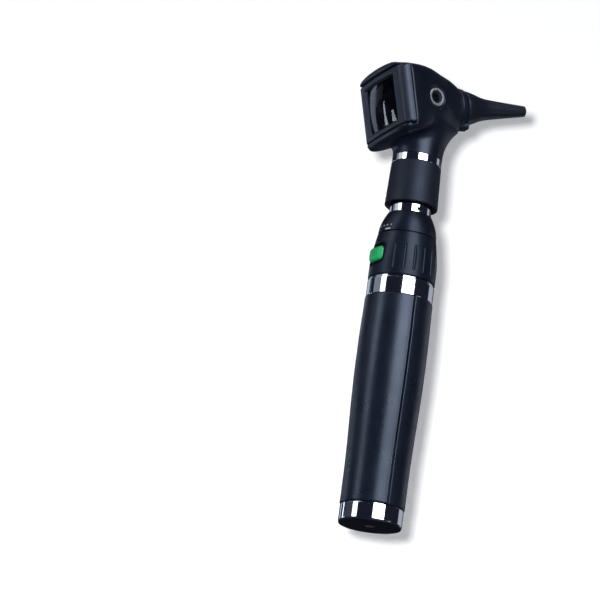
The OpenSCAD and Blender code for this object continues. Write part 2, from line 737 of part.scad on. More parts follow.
module speculum() color("#141517") head_frame() {
    stations = [for (i = [0 : speculum_steps]) rim_u + speculum_length * i / speculum_steps];
    axis_turn(concat(
        [for (u = stations) [u, speculum_radius(u)]],
        [for (i = [speculum_steps : -1 : 0]) let (u = stations[i]) [u, speculum_radius(u) - speculum_wall]]));
}

end_cap();
base_ring();
charge_contact();
battery_spring();
rear_grip_shell();
front_grip_shell();
battery_tube();
battery_pack();
battery_contact();
contact_block();
contact_rod();
wide_ring();
handle_core();
rheostat_track();
rheostat_collar();
rheostat_wiper();
lock_button();
button_spring();
dome();
bayonet_stub();
contact_insulator();
socket_sleeve();
bayonet_socket();
neck_ring();
head_housing();
lamp_holder();
lamp_contact();
lamp_base();
lamp_bulb();
light_guide();
nose_cone();
front_collar();
port_ring();
lens_frame();
magnifier_lens();
speculum();
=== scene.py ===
"""Looks of a diagnostic otoscope on a rechargeable handle, laid out as a Blender add-on.

Lengths in the code are millimetres in the part's own frame; meshes are written in metres.
"""
import json
import math

import bpy
import numpy as np
import openvdb as vdb
from bpy.props import FloatProperty, FloatVectorProperty, IntProperty, PointerProperty
from mathutils import Matrix, Vector


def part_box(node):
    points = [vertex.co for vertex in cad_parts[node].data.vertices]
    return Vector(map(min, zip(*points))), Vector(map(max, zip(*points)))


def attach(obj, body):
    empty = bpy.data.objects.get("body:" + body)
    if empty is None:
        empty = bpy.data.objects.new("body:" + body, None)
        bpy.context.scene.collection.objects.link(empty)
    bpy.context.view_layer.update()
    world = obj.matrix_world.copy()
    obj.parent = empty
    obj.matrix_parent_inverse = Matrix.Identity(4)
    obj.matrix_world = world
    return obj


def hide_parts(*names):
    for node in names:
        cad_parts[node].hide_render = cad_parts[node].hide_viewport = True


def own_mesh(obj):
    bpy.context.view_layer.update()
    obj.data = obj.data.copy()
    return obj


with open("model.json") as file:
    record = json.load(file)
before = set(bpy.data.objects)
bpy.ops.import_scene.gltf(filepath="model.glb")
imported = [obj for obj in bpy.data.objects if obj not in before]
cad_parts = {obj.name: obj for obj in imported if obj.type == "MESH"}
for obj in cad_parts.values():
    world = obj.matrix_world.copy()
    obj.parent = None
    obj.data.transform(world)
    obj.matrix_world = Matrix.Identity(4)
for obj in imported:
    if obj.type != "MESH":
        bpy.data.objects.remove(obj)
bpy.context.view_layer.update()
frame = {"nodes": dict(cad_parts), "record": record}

bl_info = {
    "name": "Otoscope",
    "version": (1, 0, 0),
    "blender": (4, 5, 0),
    "location": "View3D > Sidebar > Otoscope",
    "description": "Builds the looks of a diagnostic otoscope around its packed solids",
    "category": "Object",
}

MM = 0.001
TINY = 1e-6
SIDES = 192  # facets round a turned piece
SHARP, FLUTED_SHARP, MOULDED_SHARP = 32.0, 28.0, 40.0  # degrees past which an edge isn't shaded smooth


def level(node, top):
    """Lowest or highest level of a CAD node, in millimetres."""
    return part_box(node)[1 if top else 0].z / MM


# Levels up the handle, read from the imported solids
BASE_Z1 = level("base_ring", True)
GRIP_Z0 = level("rear_grip_shell", False)
GRIP_Z1 = level("rear_grip_shell", True)
COLLAR_Z0 = level("rheostat_collar", False)
COLLAR_Z1 = level("rheostat_collar", True)
DOME_Z0 = level("dome", False)
DOME_Z1 = level("dome", True)
SLEEVE_Z0 = level("socket_sleeve", False)
SLEEVE_Z1 = level("socket_sleeve", True)
NECK_Z0 = level("neck_ring", True)

# Sizes of the handle
HANDLE_TWIST = math.radians(4)
TUBE_RADIUS = 13.2
STUB_RADIUS = 10.0
GRIP_RADII = (15.2, 16.5, 16.1)  # foot, belly and top
COLLAR_RADII = (15.95, 14.0)  # foot and top
DOME_RADII = (13.9, 10.5)  # foot and top
DOME_CURVE = 1.9
COLLAR_BORE = 11.66
POCKET_HALF, POCKET_CORNER, POCKET_FLOOR = (6.35, 5.4), 3.2, 12.7
BUTTON_Z = COLLAR_Z0 + 10.6
BUTTON_HALF, BUTTON_CORNER = (6.0, 3.3), 2.0
BUTTON_FACE, BUTTON_BACK = 16.9, 14.4
STEM_RADIUS = 1.5

# Sizes of the head
NECK_RADIUS = 11.9
SOCKET_RADIUS = 11.0
BARREL_RADIUS = 9.9
BARREL_BORE = 8.4
HOUSING_LENGTH = 38.5
HEAD_TILT = math.radians(12.6)
SLIDE_TILT = math.radians(2.5)
REAR = (-21.7, 0.0, NECK_Z0 + 22.2)
TRACK_RADIUS = 180.0
SLIDE_HALF_WIDTH = 23.5
SLIDE_HALF_HEIGHT = 13.95
SLIDE_DEPTH = 5.2
TRACK_SAG = TRACK_RADIUS - math.sqrt(TRACK_RADIUS ** 2 - SLIDE_HALF_WIDTH ** 2)
TRACK_CENTRE = TRACK_RADIUS - TRACK_SAG
SLOT_HALF = SLIDE_HALF_HEIGHT + 0.35
ROOF_HALF = SLOT_HALF + 3.0
CHIN_HALF = SLOT_HALF + 4.3
REAR_LIP = 0.5  # how far the housing's rear passes the slide's
RIB_DEPTH = 2.6  # of the slot's ribs, ahead of the slide's rear
LENS_SEAT = 2.2  # of the lens's rim, ahead of the slide's rear
WINDOW_HALF, WINDOW_CORNER = (15.0, 10.8), 1.6
SEAT_HALF, SEAT_CORNER = (15.8, 11.6), 2.0
NECK_FLARE = 17.8  # height over which the neck widens
PORT_PLACE = (19.7, -12.3, 0.3)
PORT_YAW = math.radians(13)
PORT_RADIUS, PORT_RIM, PORT_STEP = 3.7, 4.6, 4.3  # bore, wider mouth and the step between them
FUNNEL_RADII = (7.9, 4.75, 2.4)  # rim, knee and tip
FUNNEL_KNEE = 0.36  # share of the funnel's length
FUNNEL_LENGTH = 34.0

HANDLE_FRAME = Matrix.Rotation(HANDLE_TWIST, 4, "Z")
HEAD_FRAME = Matrix.Translation(REAR) @ Matrix.Rotation(-HEAD_TILT, 4, "Y")
SLIDE_FRAME = HEAD_FRAME @ Matrix.Rotation(-SLIDE_TILT, 4, "Y")
AXIS_FRAME = HEAD_FRAME @ Matrix.Rotation(math.pi / 2, 4, "Y")
PORT_FRAME = (HEAD_FRAME @ Matrix.Translation(PORT_PLACE)
              @ Matrix.Rotation(PORT_YAW, 4, "Z") @ Matrix.Rotation(math.pi / 2, 4, "X"))


class OtoscopeSizes(bpy.types.PropertyGroup):
    """Small sizes that shape the looks."""
    edge: FloatProperty(name="Edge", description="Rounding of the edges of turned pieces",
                        default=0.0003, min=0.0001, max=0.0006, unit="LENGTH")
    grip_edge: FloatProperty(name="Grip edge", description="Rounding of the ends of the grip",
                             default=0.0006, min=0.0002, max=0.001, unit="LENGTH")
    mould_line: FloatProperty(name="Mould line", description="Width of the line between the grip shells",
                              default=0.00026, min=0.0001, max=0.0008, unit="LENGTH")
    housing_edge: FloatProperty(name="Housing edge", description="Softness of the housing's edges",
                                default=0.0009, min=0.0004, max=0.002, unit="LENGTH")
    slide_edge: FloatProperty(name="Slide edge", description="Softness of the lens slide's edges",
                              default=0.0006, min=0.0003, max=0.0015, unit="LENGTH")
    button_edge: FloatProperty(name="Button edge", description="Softness of the lock button's edges",
                               default=0.0018, min=0.0005, max=0.003, unit="LENGTH")
    flute_places: IntProperty(name="Flute places", description="Places for grip flutes round the collar",
                              default=20, min=8, max=30)
    flute_width: FloatProperty(name="Flute width", description="Width of a grip flute",
                               default=0.0017, min=0.0008, max=0.0025, unit="LENGTH")
    flute_depth: FloatProperty(name="Flute depth", description="Depth of a grip flute",
                               default=0.0005, min=0.0002, max=0.0008, unit="LENGTH")
    mark_size: FloatProperty(name="Mark size", description="Width of the dial marks on the dome",
                             default=0.0007, min=0.0003, max=0.0012, unit="LENGTH")
    spring_wire: FloatProperty(name="Spring wire", description="Thickness of the springs' wire",
                               default=0.0008, min=0.0003, max=0.001, unit="LENGTH")


class OtoscopeColours(bpy.types.PropertyGroup):
    """Colours of the finishes."""
    head: FloatVectorProperty(name="Head", description="Moulded plastic of the head", subtype="COLOR",
                              default=(0.0035, 0.0050, 0.0120), min=0, max=1)
    slide: FloatVectorProperty(name="Lens slide", description="Moulded plastic of the slide", subtype="COLOR",
                               default=(0.009, 0.0118, 0.021), min=0, max=1)
    grip: FloatVectorProperty(name="Grip", description="Moulded plastic of the handle", subtype="COLOR",
                              default=(0.0045, 0.0070, 0.0150), min=0, max=1)
    funnel: FloatVectorProperty(name="Speculum", description="Plastic of the ear funnel", subtype="COLOR",
                                default=(0.0050, 0.0068, 0.0135), min=0, max=1)
    button: FloatVectorProperty(name="Button", description="Plastic of the lock button", subtype="COLOR",
                                default=(0.012, 0.335, 0.097), min=0, max=1)
    chrome: FloatVectorProperty(name="Chrome", description="Plating of the rings", subtype="COLOR",
                                default=(0.86, 0.87, 0.89), min=0, max=1)
    marks: FloatVectorProperty(name="Marks", description="Paint of the dial marks", subtype="COLOR",
                               default=(0.42, 0.46, 0.50), min=0, max=1)


class OtoscopeStage(bpy.types.PropertyGroup):
    """Camera and light."""
    azimuth: FloatProperty(name="Azimuth", description="Camera's turn about the handle",
                           default=math.radians(-23.28), subtype="ANGLE")
    elevation: FloatProperty(name="Elevation", description="Camera's height angle",
                             default=math.radians(-16.34), subtype="ANGLE")
    roll: FloatProperty(name="Roll", description="Camera's roll about its own axis",
                        default=math.radians(7.4), subtype="ANGLE")
    distance: FloatProperty(name="Distance", description="Camera's distance from the handle",
                            default=1.4, unit="LENGTH")
    lens: FloatProperty(name="Lens", description="Focal length on a 36 mm sensor",
                        default=177.84, unit="CAMERA")
    panel_glow: FloatProperty(name="Panel glow", description="Radiance of the right light panel",
                              default=4.8)
    key_power: FloatProperty(name="Key power", description="Power of the lamp beside the camera",
                             default=18.4, unit="POWER")
    ambient: FloatProperty(name="Ambient", description="World light on matt surfaces", default=0.3)


# Mesh helpers

def write_mesh(name, points, faces, place=Matrix(), sharp=SHARP):
    """Closed mesh from points in millimetres in a frame, faces turned outwards."""
    turn = np.array(place, float)
    points = (np.asarray(points, float) @ turn[:3, :3].T + turn[:3, 3]) * MM
    mesh = bpy.data.meshes.new(name)
    mesh.from_pydata(points.tolist(), [], [list(map(int, f)) for f in faces])
    return tidy_mesh(mesh, sharp)


def tidy_mesh(mesh, sharp=SHARP):
    """Turns a closed mesh's faces outwards, and shades it smooth up to an angle."""
    mesh.validate()
    mesh.calc_loop_triangles()
    corners = np.zeros(len(mesh.loop_triangles) * 3, np.int32)
    mesh.loop_triangles.foreach_get("vertices", corners)
    places = np.zeros(len(mesh.vertices) * 3)
    mesh.vertices.foreach_get("co", places)
    tri = places.reshape(-1, 3)[corners.reshape(-1, 3)]
    if np.einsum("ij,ij->i", tri[:, 0], np.cross(tri[:, 1], tri[:, 2])).sum() < 0:
        mesh.flip_normals()
    mesh.shade_smooth()
    mesh.set_sharp_from_angle(angle=math.radians(sharp))
    mesh.update()
    return mesh


def add_piece(mesh, name, body, slot, nodes=(), finish=None):
    """Links a finished mesh as a piece that rides on a body and stands for CAD nodes."""
    obj = bpy.data.objects.new(name, mesh)
    bpy.context.scene.collection.objects.link(obj)
    mesh.materials.clear()
    mesh.materials.append(finishes()[finish or slot])
    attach(obj, body)
    if nodes:
        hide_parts(*nodes)
    return obj


def rounded(corners, steps=6):
    """Outline in which each (x, y, radius) corner becomes an arc; a radius may be left out."""
    out = []
    for i, corner in enumerate(corners):
        here = Vector(corner[:2])
        radius = corner[2] if len(corner) > 2 else 0
        before = Vector(corners[i - 1][:2]) - here
        after = Vector(corners[(i + 1) % len(corners)][:2]) - here
        if radius <= 0 or before.length < TINY or after.length < TINY:
            out.append(tuple(here))
            continue
        half = before.angle(after) / 2
        cut = min(radius / math.tan(half), 0.49 * before.length, 0.49 * after.length)
        radius = cut * math.tan(half)
        first = here + before.normalized() * cut
        last = here + after.normalized() * cut
        bisector = (before.normalized() + after.normalized()).normalized()
        centre = here + bisector * radius / math.sin(half)
        turn = math.pi - 2 * half
        for k in range(steps + 1):
            a = turn * k / steps
            spoke = (first - centre) * math.sin(turn - a) + (last - centre) * math.sin(a)
            out.append(tuple(centre + spoke / math.sin(turn)))
    return out


def dense(outline, closed=True, near=0.12, far=3.0):
    """Outline with support points close to the ends of long straight runs."""
    out = []
    runs = len(outline) if closed else len(outline) - 1
    for i in range(runs):
        a = Vector(outline[i])
        b = Vector(outline[(i + 1) % len(outline)])
        length = (b - a).length
        out.append(tuple(a))
        if length > 4 * near:
            cuts = max(1, int(length / far))
            places = [near] + [length * k / cuts for k in range(1, cuts)] + [length - near]
            out.extend(tuple(a + (b - a) * (p / length)) for p in places)
    if not closed:
        out.append(tuple(outline[-1]))
    return out


def turned(outline):
    """Points and faces of an outline of (radius, height) turned about Z.

    An outline whose ends have no radius closes at its poles, any other closes on itself.
    """
    poles = outline[0][0] < TINY and outline[-1][0] < TINY
    angles = np.arange(SIDES) * (2 * math.pi / SIDES)
    points, rings = [], []
    for radius, height in dense(outline, closed=not poles):
        if radius < TINY:
            rings.append([len(points)])
            points.append((0.0, 0.0, height))
        else:
            rings.append(list(range(len(points), len(points) + SIDES)))
            points.extend((radius * math.cos(a), radius * math.sin(a), height) for a in angles)
    pairs = list(zip(rings, rings[1:])) + ([] if poles else [(rings[-1], rings[0])])
    faces = []
    for low, high in pairs:
        if len(low) == 1 and len(high) == 1:
            continue
        for j in range(SIDES):
            k = (j + 1) % SIDES
            if len(low) == 1:
                faces.append((low[0], high[k], high[j]))
            elif len(high) == 1:
                faces.append((low[j], low[k], high[0]))
            else:
                faces.append((low[j], low[k], high[k], high[j]))
    return points, faces


def loft(loops, caps=True):
    """Points and faces of a skin over loops of the same length, its ends closed by fans or left open."""
    n = len(loops[0])
    points = [p for loop in loops for p in loop]
    faces = []
    for i in range(len(loops) - 1):
        for j in range(n):
            k = (j + 1) % n
            faces.append((i * n + j, i * n + k, (i + 1) * n + k, (i + 1) * n + j))
    if caps:
        for i, flip in ((0, True), (len(loops) - 1, False)):
            middle = len(points)
            points.append(tuple(np.mean(np.array(loops[i]), axis=0)))
            for j in range(n):
                a, b = i * n + j, i * n + (j + 1) % n
                faces.append((b, a, middle) if flip else (a, b, middle))
    return points, faces


# Distance fields, for pieces whose faces flow into each other

def soft_min(a, b, k):
    """Smaller of two distances, rounded over a band of width k."""
    h = np.maximum(0, k - np.abs(a - b)) / k
    return np.minimum(a, b) - h * h * k / 4


def soft_max(a, b, k):
    """Larger of two distances, rounded over a band of width k."""
    return -soft_min(-a, -b, k)


def round_max(a, b, radius):
    """Larger of two distances, with a round edge of a given radius where they meet."""
    x, y = a + radius, b + radius
    return np.hypot(np.maximum(x, 0), np.maximum(y, 0)) + np.minimum(np.maximum(x, y), 0) - radius


def step_at(t):
    """Smooth step from 0 to 1."""
    c = np.clip(t, 0, 1)
    return c * c * (3 - 2 * c)


def mix(a, b, t):
    """Value between a and b."""
    return a + (b - a) * t


def box_distance(x, y, half_x, half_y, corner):
    """Distance to a rectangle with round corners."""
    dx = np.abs(x) - half_x + corner
    dy = np.abs(y) - half_y + corner
    outside = np.hypot(np.maximum(dx, 0), np.maximum(dy, 0))
    return outside + np.minimum(np.maximum(dx, dy), 0) - corner


def field_skin(distance, low, high, pitch):
    """Points and faces of the zero level of a distance function of x, y and z."""
    axes = [np.arange(a, b + pitch, pitch) for a, b in zip(low, high)]
    outside = 1000.0
    grid = vdb.FloatGrid(outside)
    grid.copyFromArray(distance(*np.meshgrid(*axes, indexing="ij")).astype(np.float32))
    points, triangles, quads = grid.convertToPolygons(isovalue=0.0, adaptivity=0.0)
    points = np.asarray(points, float) * pitch + np.array([a[0] for a in axes])
    steps, probe, least_slope, longest = 4, 0.12 * pitch, 0.2, 0.5 * pitch
    for _ in range(steps):
        slope = np.empty_like(points)
        for axis in range(3):
            shift = np.zeros(3)
            shift[axis] = probe
            slope[:, axis] = (distance(*(points + shift).T) - distance(*(points - shift).T)) / (2 * probe)
        move = slope * (distance(*points.T) / np.maximum((slope ** 2).sum(1), least_slope))[:, None]
        length = np.maximum(np.linalg.norm(move, axis=1), 1e-9)
        points -= move * np.minimum(1, longest / length)[:, None]
    return points, [tuple(f) for f in triangles] + [tuple(f) for f in quads]


# Material helpers

def new_material(name):
    """Material with its node tree and shader."""
    material = bpy.data.materials.new(name)
    material.use_nodes = True
    return material, material.node_tree, material.node_tree.nodes["Principled BSDF"]


def wire(tree, node, links):
    """Sets inputs of a node from values or from other sockets."""
    for key, value in links.items():
        if isinstance(value, bpy.types.NodeSocket):
            tree.links.new(value, node.inputs[key])
        else:
            node.inputs[key].default_value = value


def add_node(tree, kind, links=None, **settings):
    """Node with its settings and inputs."""
    made = tree.nodes.new(kind)
    for key, value in settings.items():
        setattr(made, key, value)
    wire(tree, made, links or {})
    return made


def math_node(tree, operation, first, second=0.0, third=0.0):
    """One math step."""
    return add_node(tree, "ShaderNodeMath", {0: first, 1: second, 2: third}, operation=operation).outputs[0]


def noise(tree, scale, detail=2.0, stretch=(1, 1, 1)):
    """Noise on Object coordinates, its features about 1/scale metres wide."""
    place = add_node(tree, "ShaderNodeTexCoord").outputs["Object"]
    if stretch != (1, 1, 1):
        place = add_node(tree, "ShaderNodeMapping", {"Vector": place, "Scale": stretch}).outputs["Vector"]
    return add_node(tree, "ShaderNodeTexNoise",
                    {"Vector": place, "Scale": scale, "Detail": detail}).outputs["Fac"]


def spread(tree, value, low, high, start=0.3, end=0.7):
    """Maps noise onto a range."""
    return add_node(tree, "ShaderNodeMapRange", {
        "Value": value, "From Min": start, "From Max": end, "To Min": low, "To Max": high}).outputs["Result"]


def bump(tree, height, strength, depth):
    """Normal that a height pattern tilts."""
    return add_node(tree, "ShaderNodeBump", {
        "Height": height, "Strength": strength, "Distance": depth}).outputs["Normal"]


def shade(tree, value, colour, low, high):
    """Colour that noise makes darker and lighter."""
    ramp = add_node(tree, "ShaderNodeValToRGB", {"Fac": value})
    for stop, place, part in zip(ramp.color_ramp.elements, (0.3, 0.7), (low, high)):
        stop.position = place
        stop.color = tuple(min(1, c * part) for c in colour) + (1,)
    return ramp.outputs["Color"]


def plastic(name, colour, rough, grain, depth, gloss, vary=0.12):
    """Moulded plastic: fine spark-eroded grain, patchy gloss and slightly uneven colour."""
    material, tree, shader = new_material(name)
    wire(tree, shader, {
        "Base Color": shade(tree, noise(tree, 160, 3), colour, 1 - vary, 1 + vary),
        "Roughness": spread(tree, noise(tree, 90, 4), rough - 0.04, rough + 0.05),
        "Normal": bump(tree, noise(tree, 1 / grain, 2), 0.35, depth),
        "Specular IOR Level": gloss,
        "Specular Tint": (0.72, 0.83, 1, 1)})
    return material


def metal(name, colour, rough, stretch, scale, depth=0.000002, vary=0.06):
    """Metal with fine machining lines along one way and patchy gloss."""
    material, tree, shader = new_material(name)
    lines = noise(tree, scale, 2, stretch)
    wire(tree, shader, {
        "Base Color": shade(tree, noise(tree, 220, 2), colour, 1 - vary, 1 + vary / 2),
        "Roughness": spread(tree, lines, rough * 0.8, rough * 1.3),
        "Normal": bump(tree, lines, 0.25, depth),
        "Metallic": 1.0})
    return material


def clear(name, colour, rough, ior):
    """Clear glass or acrylic with faint wipe marks in its polish."""
    material, tree, shader = new_material(name)
    smears = noise(tree, 260, 4, (1, 0.4, 1))
    wire(tree, shader, {
        "Roughness": spread(tree, smears, rough, rough + 0.03, 0.4, 0.8),
        "Base Color": (*colour, 1),
        "Transmission Weight": 1.0,
        "IOR": ior})
    return material


FINISH = {}


def finishes():
    """All finishes by the record's slot names, made once."""
    if FINISH:
        return FINISH
    c = bpy.context.scene.otoscope_colours
    FINISH.update({
        # colour, roughness, width and depth of the grain, gloss, unevenness of the colour
        "head_black": plastic("Head plastic", c.head, 0.34, 0.0003, 0.000010, 0.5),
        "slide_black": plastic("Slide plastic", c.slide, 0.44, 0.0003, 0.000008, 0.65),
        "sleeve": plastic("Sleeve plastic", c.head, 0.52, 0.0009, 0.000200, 0.4),
        "grip_black": plastic("Grip plastic", c.grip, 0.29, 0.0009, 0.000130, 0.56),
        "collar_black": plastic("Collar plastic", c.grip, 0.33, 0.0008, 0.000030, 0.27),
        "cap_black": plastic("Cap plastic", c.head, 0.5, 0.0005, 0.000020, 0.35),
        "nose_black": plastic("Cone plastic", (0.006, 0.006, 0.007), 0.55, 0.0004, 0.00001, 0.3),
        "speculum_black": plastic("Funnel plastic", c.funnel, 0.32, 0.0003, 0.000008, 0.6),
        "button_green": plastic("Button plastic", c.button, 0.32, 0.0003, 0.000008, 0.5, 0.05),
        "marks": plastic("Mark paint", c.marks, 0.5, 0.0002, 0.000004, 0.4, 0.05),
        "insulator": plastic("Insulator", (0.62, 0.58, 0.47), 0.45, 0.0005, 0.00001, 0.5, 0.06),
        "resistor": plastic("Resistor", (0.10, 0.055, 0.03), 0.6, 0.0004, 0.00002, 0.4, 0.2),
        "battery": plastic("Battery sleeve", (0.05, 0.10, 0.17), 0.3, 0.0006, 0.000006, 0.5, 0.08),
        # colour, roughness, stretch and scale of the machining lines, their depth, unevenness of the colour
        "chrome": metal("Chrome", c.chrome, 0.06, (0.02, 0.02, 1), 3000, 0.0000006, 0.03),
        "satin": metal("Satin metal", (0.33, 0.35, 0.38), 0.46, (1, 1, 1), 1500, 0.000003),
        "brass": metal("Brass", (0.72, 0.5, 0.2), 0.25, (0.1, 0.1, 1), 2000),
        "steel": metal("Steel", (0.56, 0.57, 0.58), 0.28, (0.1, 0.1, 1), 2400),
        "aluminium": metal("Aluminium", (0.62, 0.63, 0.65), 0.34, (0.05, 0.05, 1), 1800),
        # colour, roughness, index of refraction
        "lens_clear": clear("Lens", (0.96, 0.98, 0.985), 0.0, 1.49),
        "lens_coat": clear("Coated lens face", (0.96, 0.98, 0.985), 0.0, 1.08),
        "bulb_glass": clear("Bulb glass", (0.97, 0.97, 0.97), 0.0, 1.47),
        "fibre": clear("Light fibre", (0.93, 0.93, 0.88), 0.12, 1.5),
    })
    return FINISH


# Geometry Nodes helpers

def new_tree(name, sizes):
    """Geometry tree with its geometry socket and named inputs; returns the tree and what they give."""
    kinds = {bpy.types.Material: "NodeSocketMaterial", int: "NodeSocketInt", float: "NodeSocketFloat"}
    tree = bpy.data.node_groups.new(name, "GeometryNodeTree")
    tree.interface.new_socket(name="Geometry", in_out="INPUT", socket_type="NodeSocketGeometry")
    for label, value in sizes.items():
        tree.interface.new_socket(name=label, in_out="INPUT", socket_type=kinds[type(value)])
    tree.interface.new_socket(name="Geometry", in_out="OUTPUT", socket_type="NodeSocketGeometry")
    return tree, tree.nodes.new("NodeGroupInput").outputs


def end_tree(tree, geometry, material):
    """Realises what the tree made, sets its material and hands it out."""
    solid = add_node(tree, "GeometryNodeRealizeInstances", {"Geometry": geometry}).outputs[0]
    dressed = add_node(tree, "GeometryNodeSetMaterial", {"Geometry": solid, "Material": material})
    add_node(tree, "NodeGroupOutput", {0: dressed.outputs[0]})
    return tree


def grow(name, tree, sizes, mesh=None):
    """Plain mesh that a tree makes from a mesh and its sizes."""
    host = bpy.data.objects.new(name, mesh or bpy.data.meshes.new(name))
    bpy.context.scene.collection.objects.link(host)
    modifier = host.modifiers.new("Nodes", "NODES")
    modifier.node_group = tree
    for item in tree.interface.items_tree:
        if item.in_out == "INPUT" and item.name in sizes:
            modifier[item.identifier] = sizes[item.name]
    graph = bpy.context.evaluated_depsgraph_get()
    made = bpy.data.meshes.new_from_object(host.evaluated_get(graph))
    host.modifiers.remove(modifier)
    bpy.data.objects.remove(host)
    if not made.polygons:
        raise RuntimeError(f"{name}: its tree made no faces")
    return made


def vector_node(tree, **parts):
    """Vector from its X, Y and Z."""
    return add_node(tree, "ShaderNodeCombineXYZ", parts).outputs[0]


def round_axis(tree, shape, o, turn, tip, keep=True):
    """Instances of a shape, tipped about Y and set at Reach and Height, at turns about Z."""
    put = add_node(tree, "GeometryNodeTransform", {
        "Geometry": shape, "Translation": vector_node(tree, X=o["Reach"], Z=o["Height"]),
        "Rotation": vector_node(tree, Y=tip)})
    points = add_node(tree, "GeometryNodePoints", {"Count": o["Count"]})
    return add_node(tree, "GeometryNodeInstanceOnPoints", {
        "Points": points.outputs[0], "Selection": keep, "Instance": put.outputs[0],
        "Rotation": vector_node(tree, Z=turn)}).outputs[0]


def flute_tree(sizes):
    """Cuts upright grip flutes into a collar, leaving out the places near the button."""
    tree, o = new_tree("Grip flutes", sizes)
    ball = add_node(tree, "GeometryNodeMeshUVSphere", {
        "Segments": 28, "Rings": 16, "Radius": math_node(tree, "MULTIPLY", o["Width"], 0.5)})
    place = add_node(tree, "GeometryNodeInputPosition").outputs[0]
    along = add_node(tree, "ShaderNodeSeparateXYZ", {0: place}).outputs["Z"]
    far = math_node(tree, "GREATER_THAN", math_node(tree, "ABSOLUTE", along), TINY)
    end = math_node(tree, "MULTIPLY", math_node(tree, "SIGN", along), far)
    lift = vector_node(tree, Z=math_node(tree, "MULTIPLY", end, o["Half length"]))
    bar = add_node(tree, "GeometryNodeSetPosition", {"Geometry": ball.outputs["Mesh"], "Offset": lift})
    index = add_node(tree, "GeometryNodeInputIndex").outputs[0]
    whole = math_node(tree, "MULTIPLY", math_node(tree, "ADD", index, 0.5), 2 * math.pi)
    turn = math_node(tree, "DIVIDE", whole, o["Count"])
    clear_of_button = math_node(tree, "LESS_THAN", math_node(tree, "COSINE", turn), o["Spread"])
    flutes = round_axis(tree, bar.outputs[0], o, math_node(tree, "ADD", turn, math.pi),
                        math_node(tree, "MULTIPLY", o["Lean"], -1.0), clear_of_button)
    solid = add_node(tree, "GeometryNodeRealizeInstances", {"Geometry": flutes}).outputs[0]
    cut = add_node(tree, "GeometryNodeMeshBoolean", operation="DIFFERENCE", solver="EXACT")
    wire(tree, cut, {"Mesh 1": o["Geometry"], "Mesh 2": solid})
    return end_tree(tree, cut.outputs["Mesh"], o["Finish"])


def spring_tree(sizes):
    """Coil of round wire up the Z axis."""
    tree, o = new_tree("Coil spring", sizes)
    coil = add_node(tree, "GeometryNodeCurveSpiral", {
        "Resolution": 28, "Rotations": o["Turns"], "Start Radius": o["Radius"],
        "End Radius": o["Radius"], "Height": o["Height"]})
    section = add_node(tree, "GeometryNodeCurvePrimitiveCircle", {
        "Resolution": 10, "Radius": math_node(tree, "MULTIPLY", o["Wire"], 0.5)})
    tube = add_node(tree, "GeometryNodeCurveToMesh", {
        "Curve": coil.outputs[0], "Profile Curve": section.outputs[0], "Fill Caps": True})
    return end_tree(tree, tube.outputs[0], o["Finish"])


def mark_tree(sizes):
    """Row of round dial marks that lie on a dome, one step of a turn apart."""
    tree, o = new_tree("Dial marks", sizes)
    dot = add_node(tree, "GeometryNodeMeshCylinder", {
        "Vertices": 20, "Radius": math_node(tree, "MULTIPLY", o["Size"], 0.5), "Depth": o["Thickness"]})
    index = add_node(tree, "GeometryNodeInputIndex").outputs[0]
    turn = math_node(tree, "ADD", o["Start"], math_node(tree, "MULTIPLY", index, o["Step"]))
    tip = math_node(tree, "SUBTRACT", math.pi / 2, o["Slope"])
    return end_tree(tree, round_axis(tree, dot.outputs["Mesh"], o, turn, tip), o["Finish"])


# Pieces

def turned_piece(name, body, slot, corners, nodes, place=Matrix(), finish=None):
    """Turned piece from an outline of (radius, height, rounding)."""
    points, faces = turned(rounded(corners))
    return add_piece(write_mesh(name, points, faces, place), name, body, slot, nodes, finish)


def moulded_piece(node, body, slot, skin, place, sharp=MOULDED_SHARP):
    """Moulded piece in a node's stead, from the points and faces of its skin."""
    return add_piece(write_mesh(node, *skin, place, sharp), node + "_moulded", body, slot, [node])


class OTOSCOPE_OT_end_cap(bpy.types.Operator):
    """Build the screw cap at the foot of the handle"""
    bl_idname = "otoscope.end_cap"
    bl_label = "End cap"

    def execute(self, context):
        e = context.scene.otoscope_sizes.edge / MM
        turned_piece("end_cap_turned", "cap", "cap_black", [
            (0, 3), (3, 3), (3, 0, 0.15), (14.7, 0, 0.5), (14.7, 0.8), (13.6, 0.8), (13.6, BASE_Z1, e),
            (12.3, BASE_Z1), (12.3, BASE_Z1 + 11, 0.4), (8, BASE_Z1 + 11, e), (8, BASE_Z1 + 3, e),
            (0, BASE_Z1 + 3)], ["end_cap"])
        turned_piece("charge_contact_turned", "cap", "brass", [
            (0, 0.05), (2, 0.05, 0.3), (2.4, 0.25, 0.3), (2.95, 0.25, 0.1), (2.95, 2.95), (0, 2.95)],
            ["charge_contact"])
        return {"FINISHED"}


class OTOSCOPE_OT_rings(bpy.types.Operator):
    """Build the chrome rings of the handle and the neck"""
    bl_idname = "otoscope.rings"
    bl_label = "Chrome rings"

    def execute(self, context):
        e = context.scene.otoscope_sizes.edge / MM
        wide_z1 = GRIP_Z1 + 8
        lip_z1 = wide_z1 + 1
        rings = {
            "base_ring": ("cap", [(13.6, 0.8), (14.9, 0.8, e), (14.9, BASE_Z1, e), (13.6, BASE_Z1)]),
            "wide_ring": ("handle", [
                (TUBE_RADIUS, GRIP_Z1), (15.85, GRIP_Z1, e), (15.85, wide_z1, e), (15.35, wide_z1),
                (15.35, lip_z1, 0.12), (14.85, lip_z1, 0.12), (14.85, wide_z1), (TUBE_RADIUS, wide_z1)]),
            "neck_ring": ("head", [(SOCKET_RADIUS, SLEEVE_Z1), (11.85, SLEEVE_Z1, e), (11.85, NECK_Z0, e),
                                   (SOCKET_RADIUS, NECK_Z0)]),
        }
        for node, (body, corners) in rings.items():
            turned_piece(node + "_polished", body, "chrome", corners, [node])
        return {"FINISHED"}


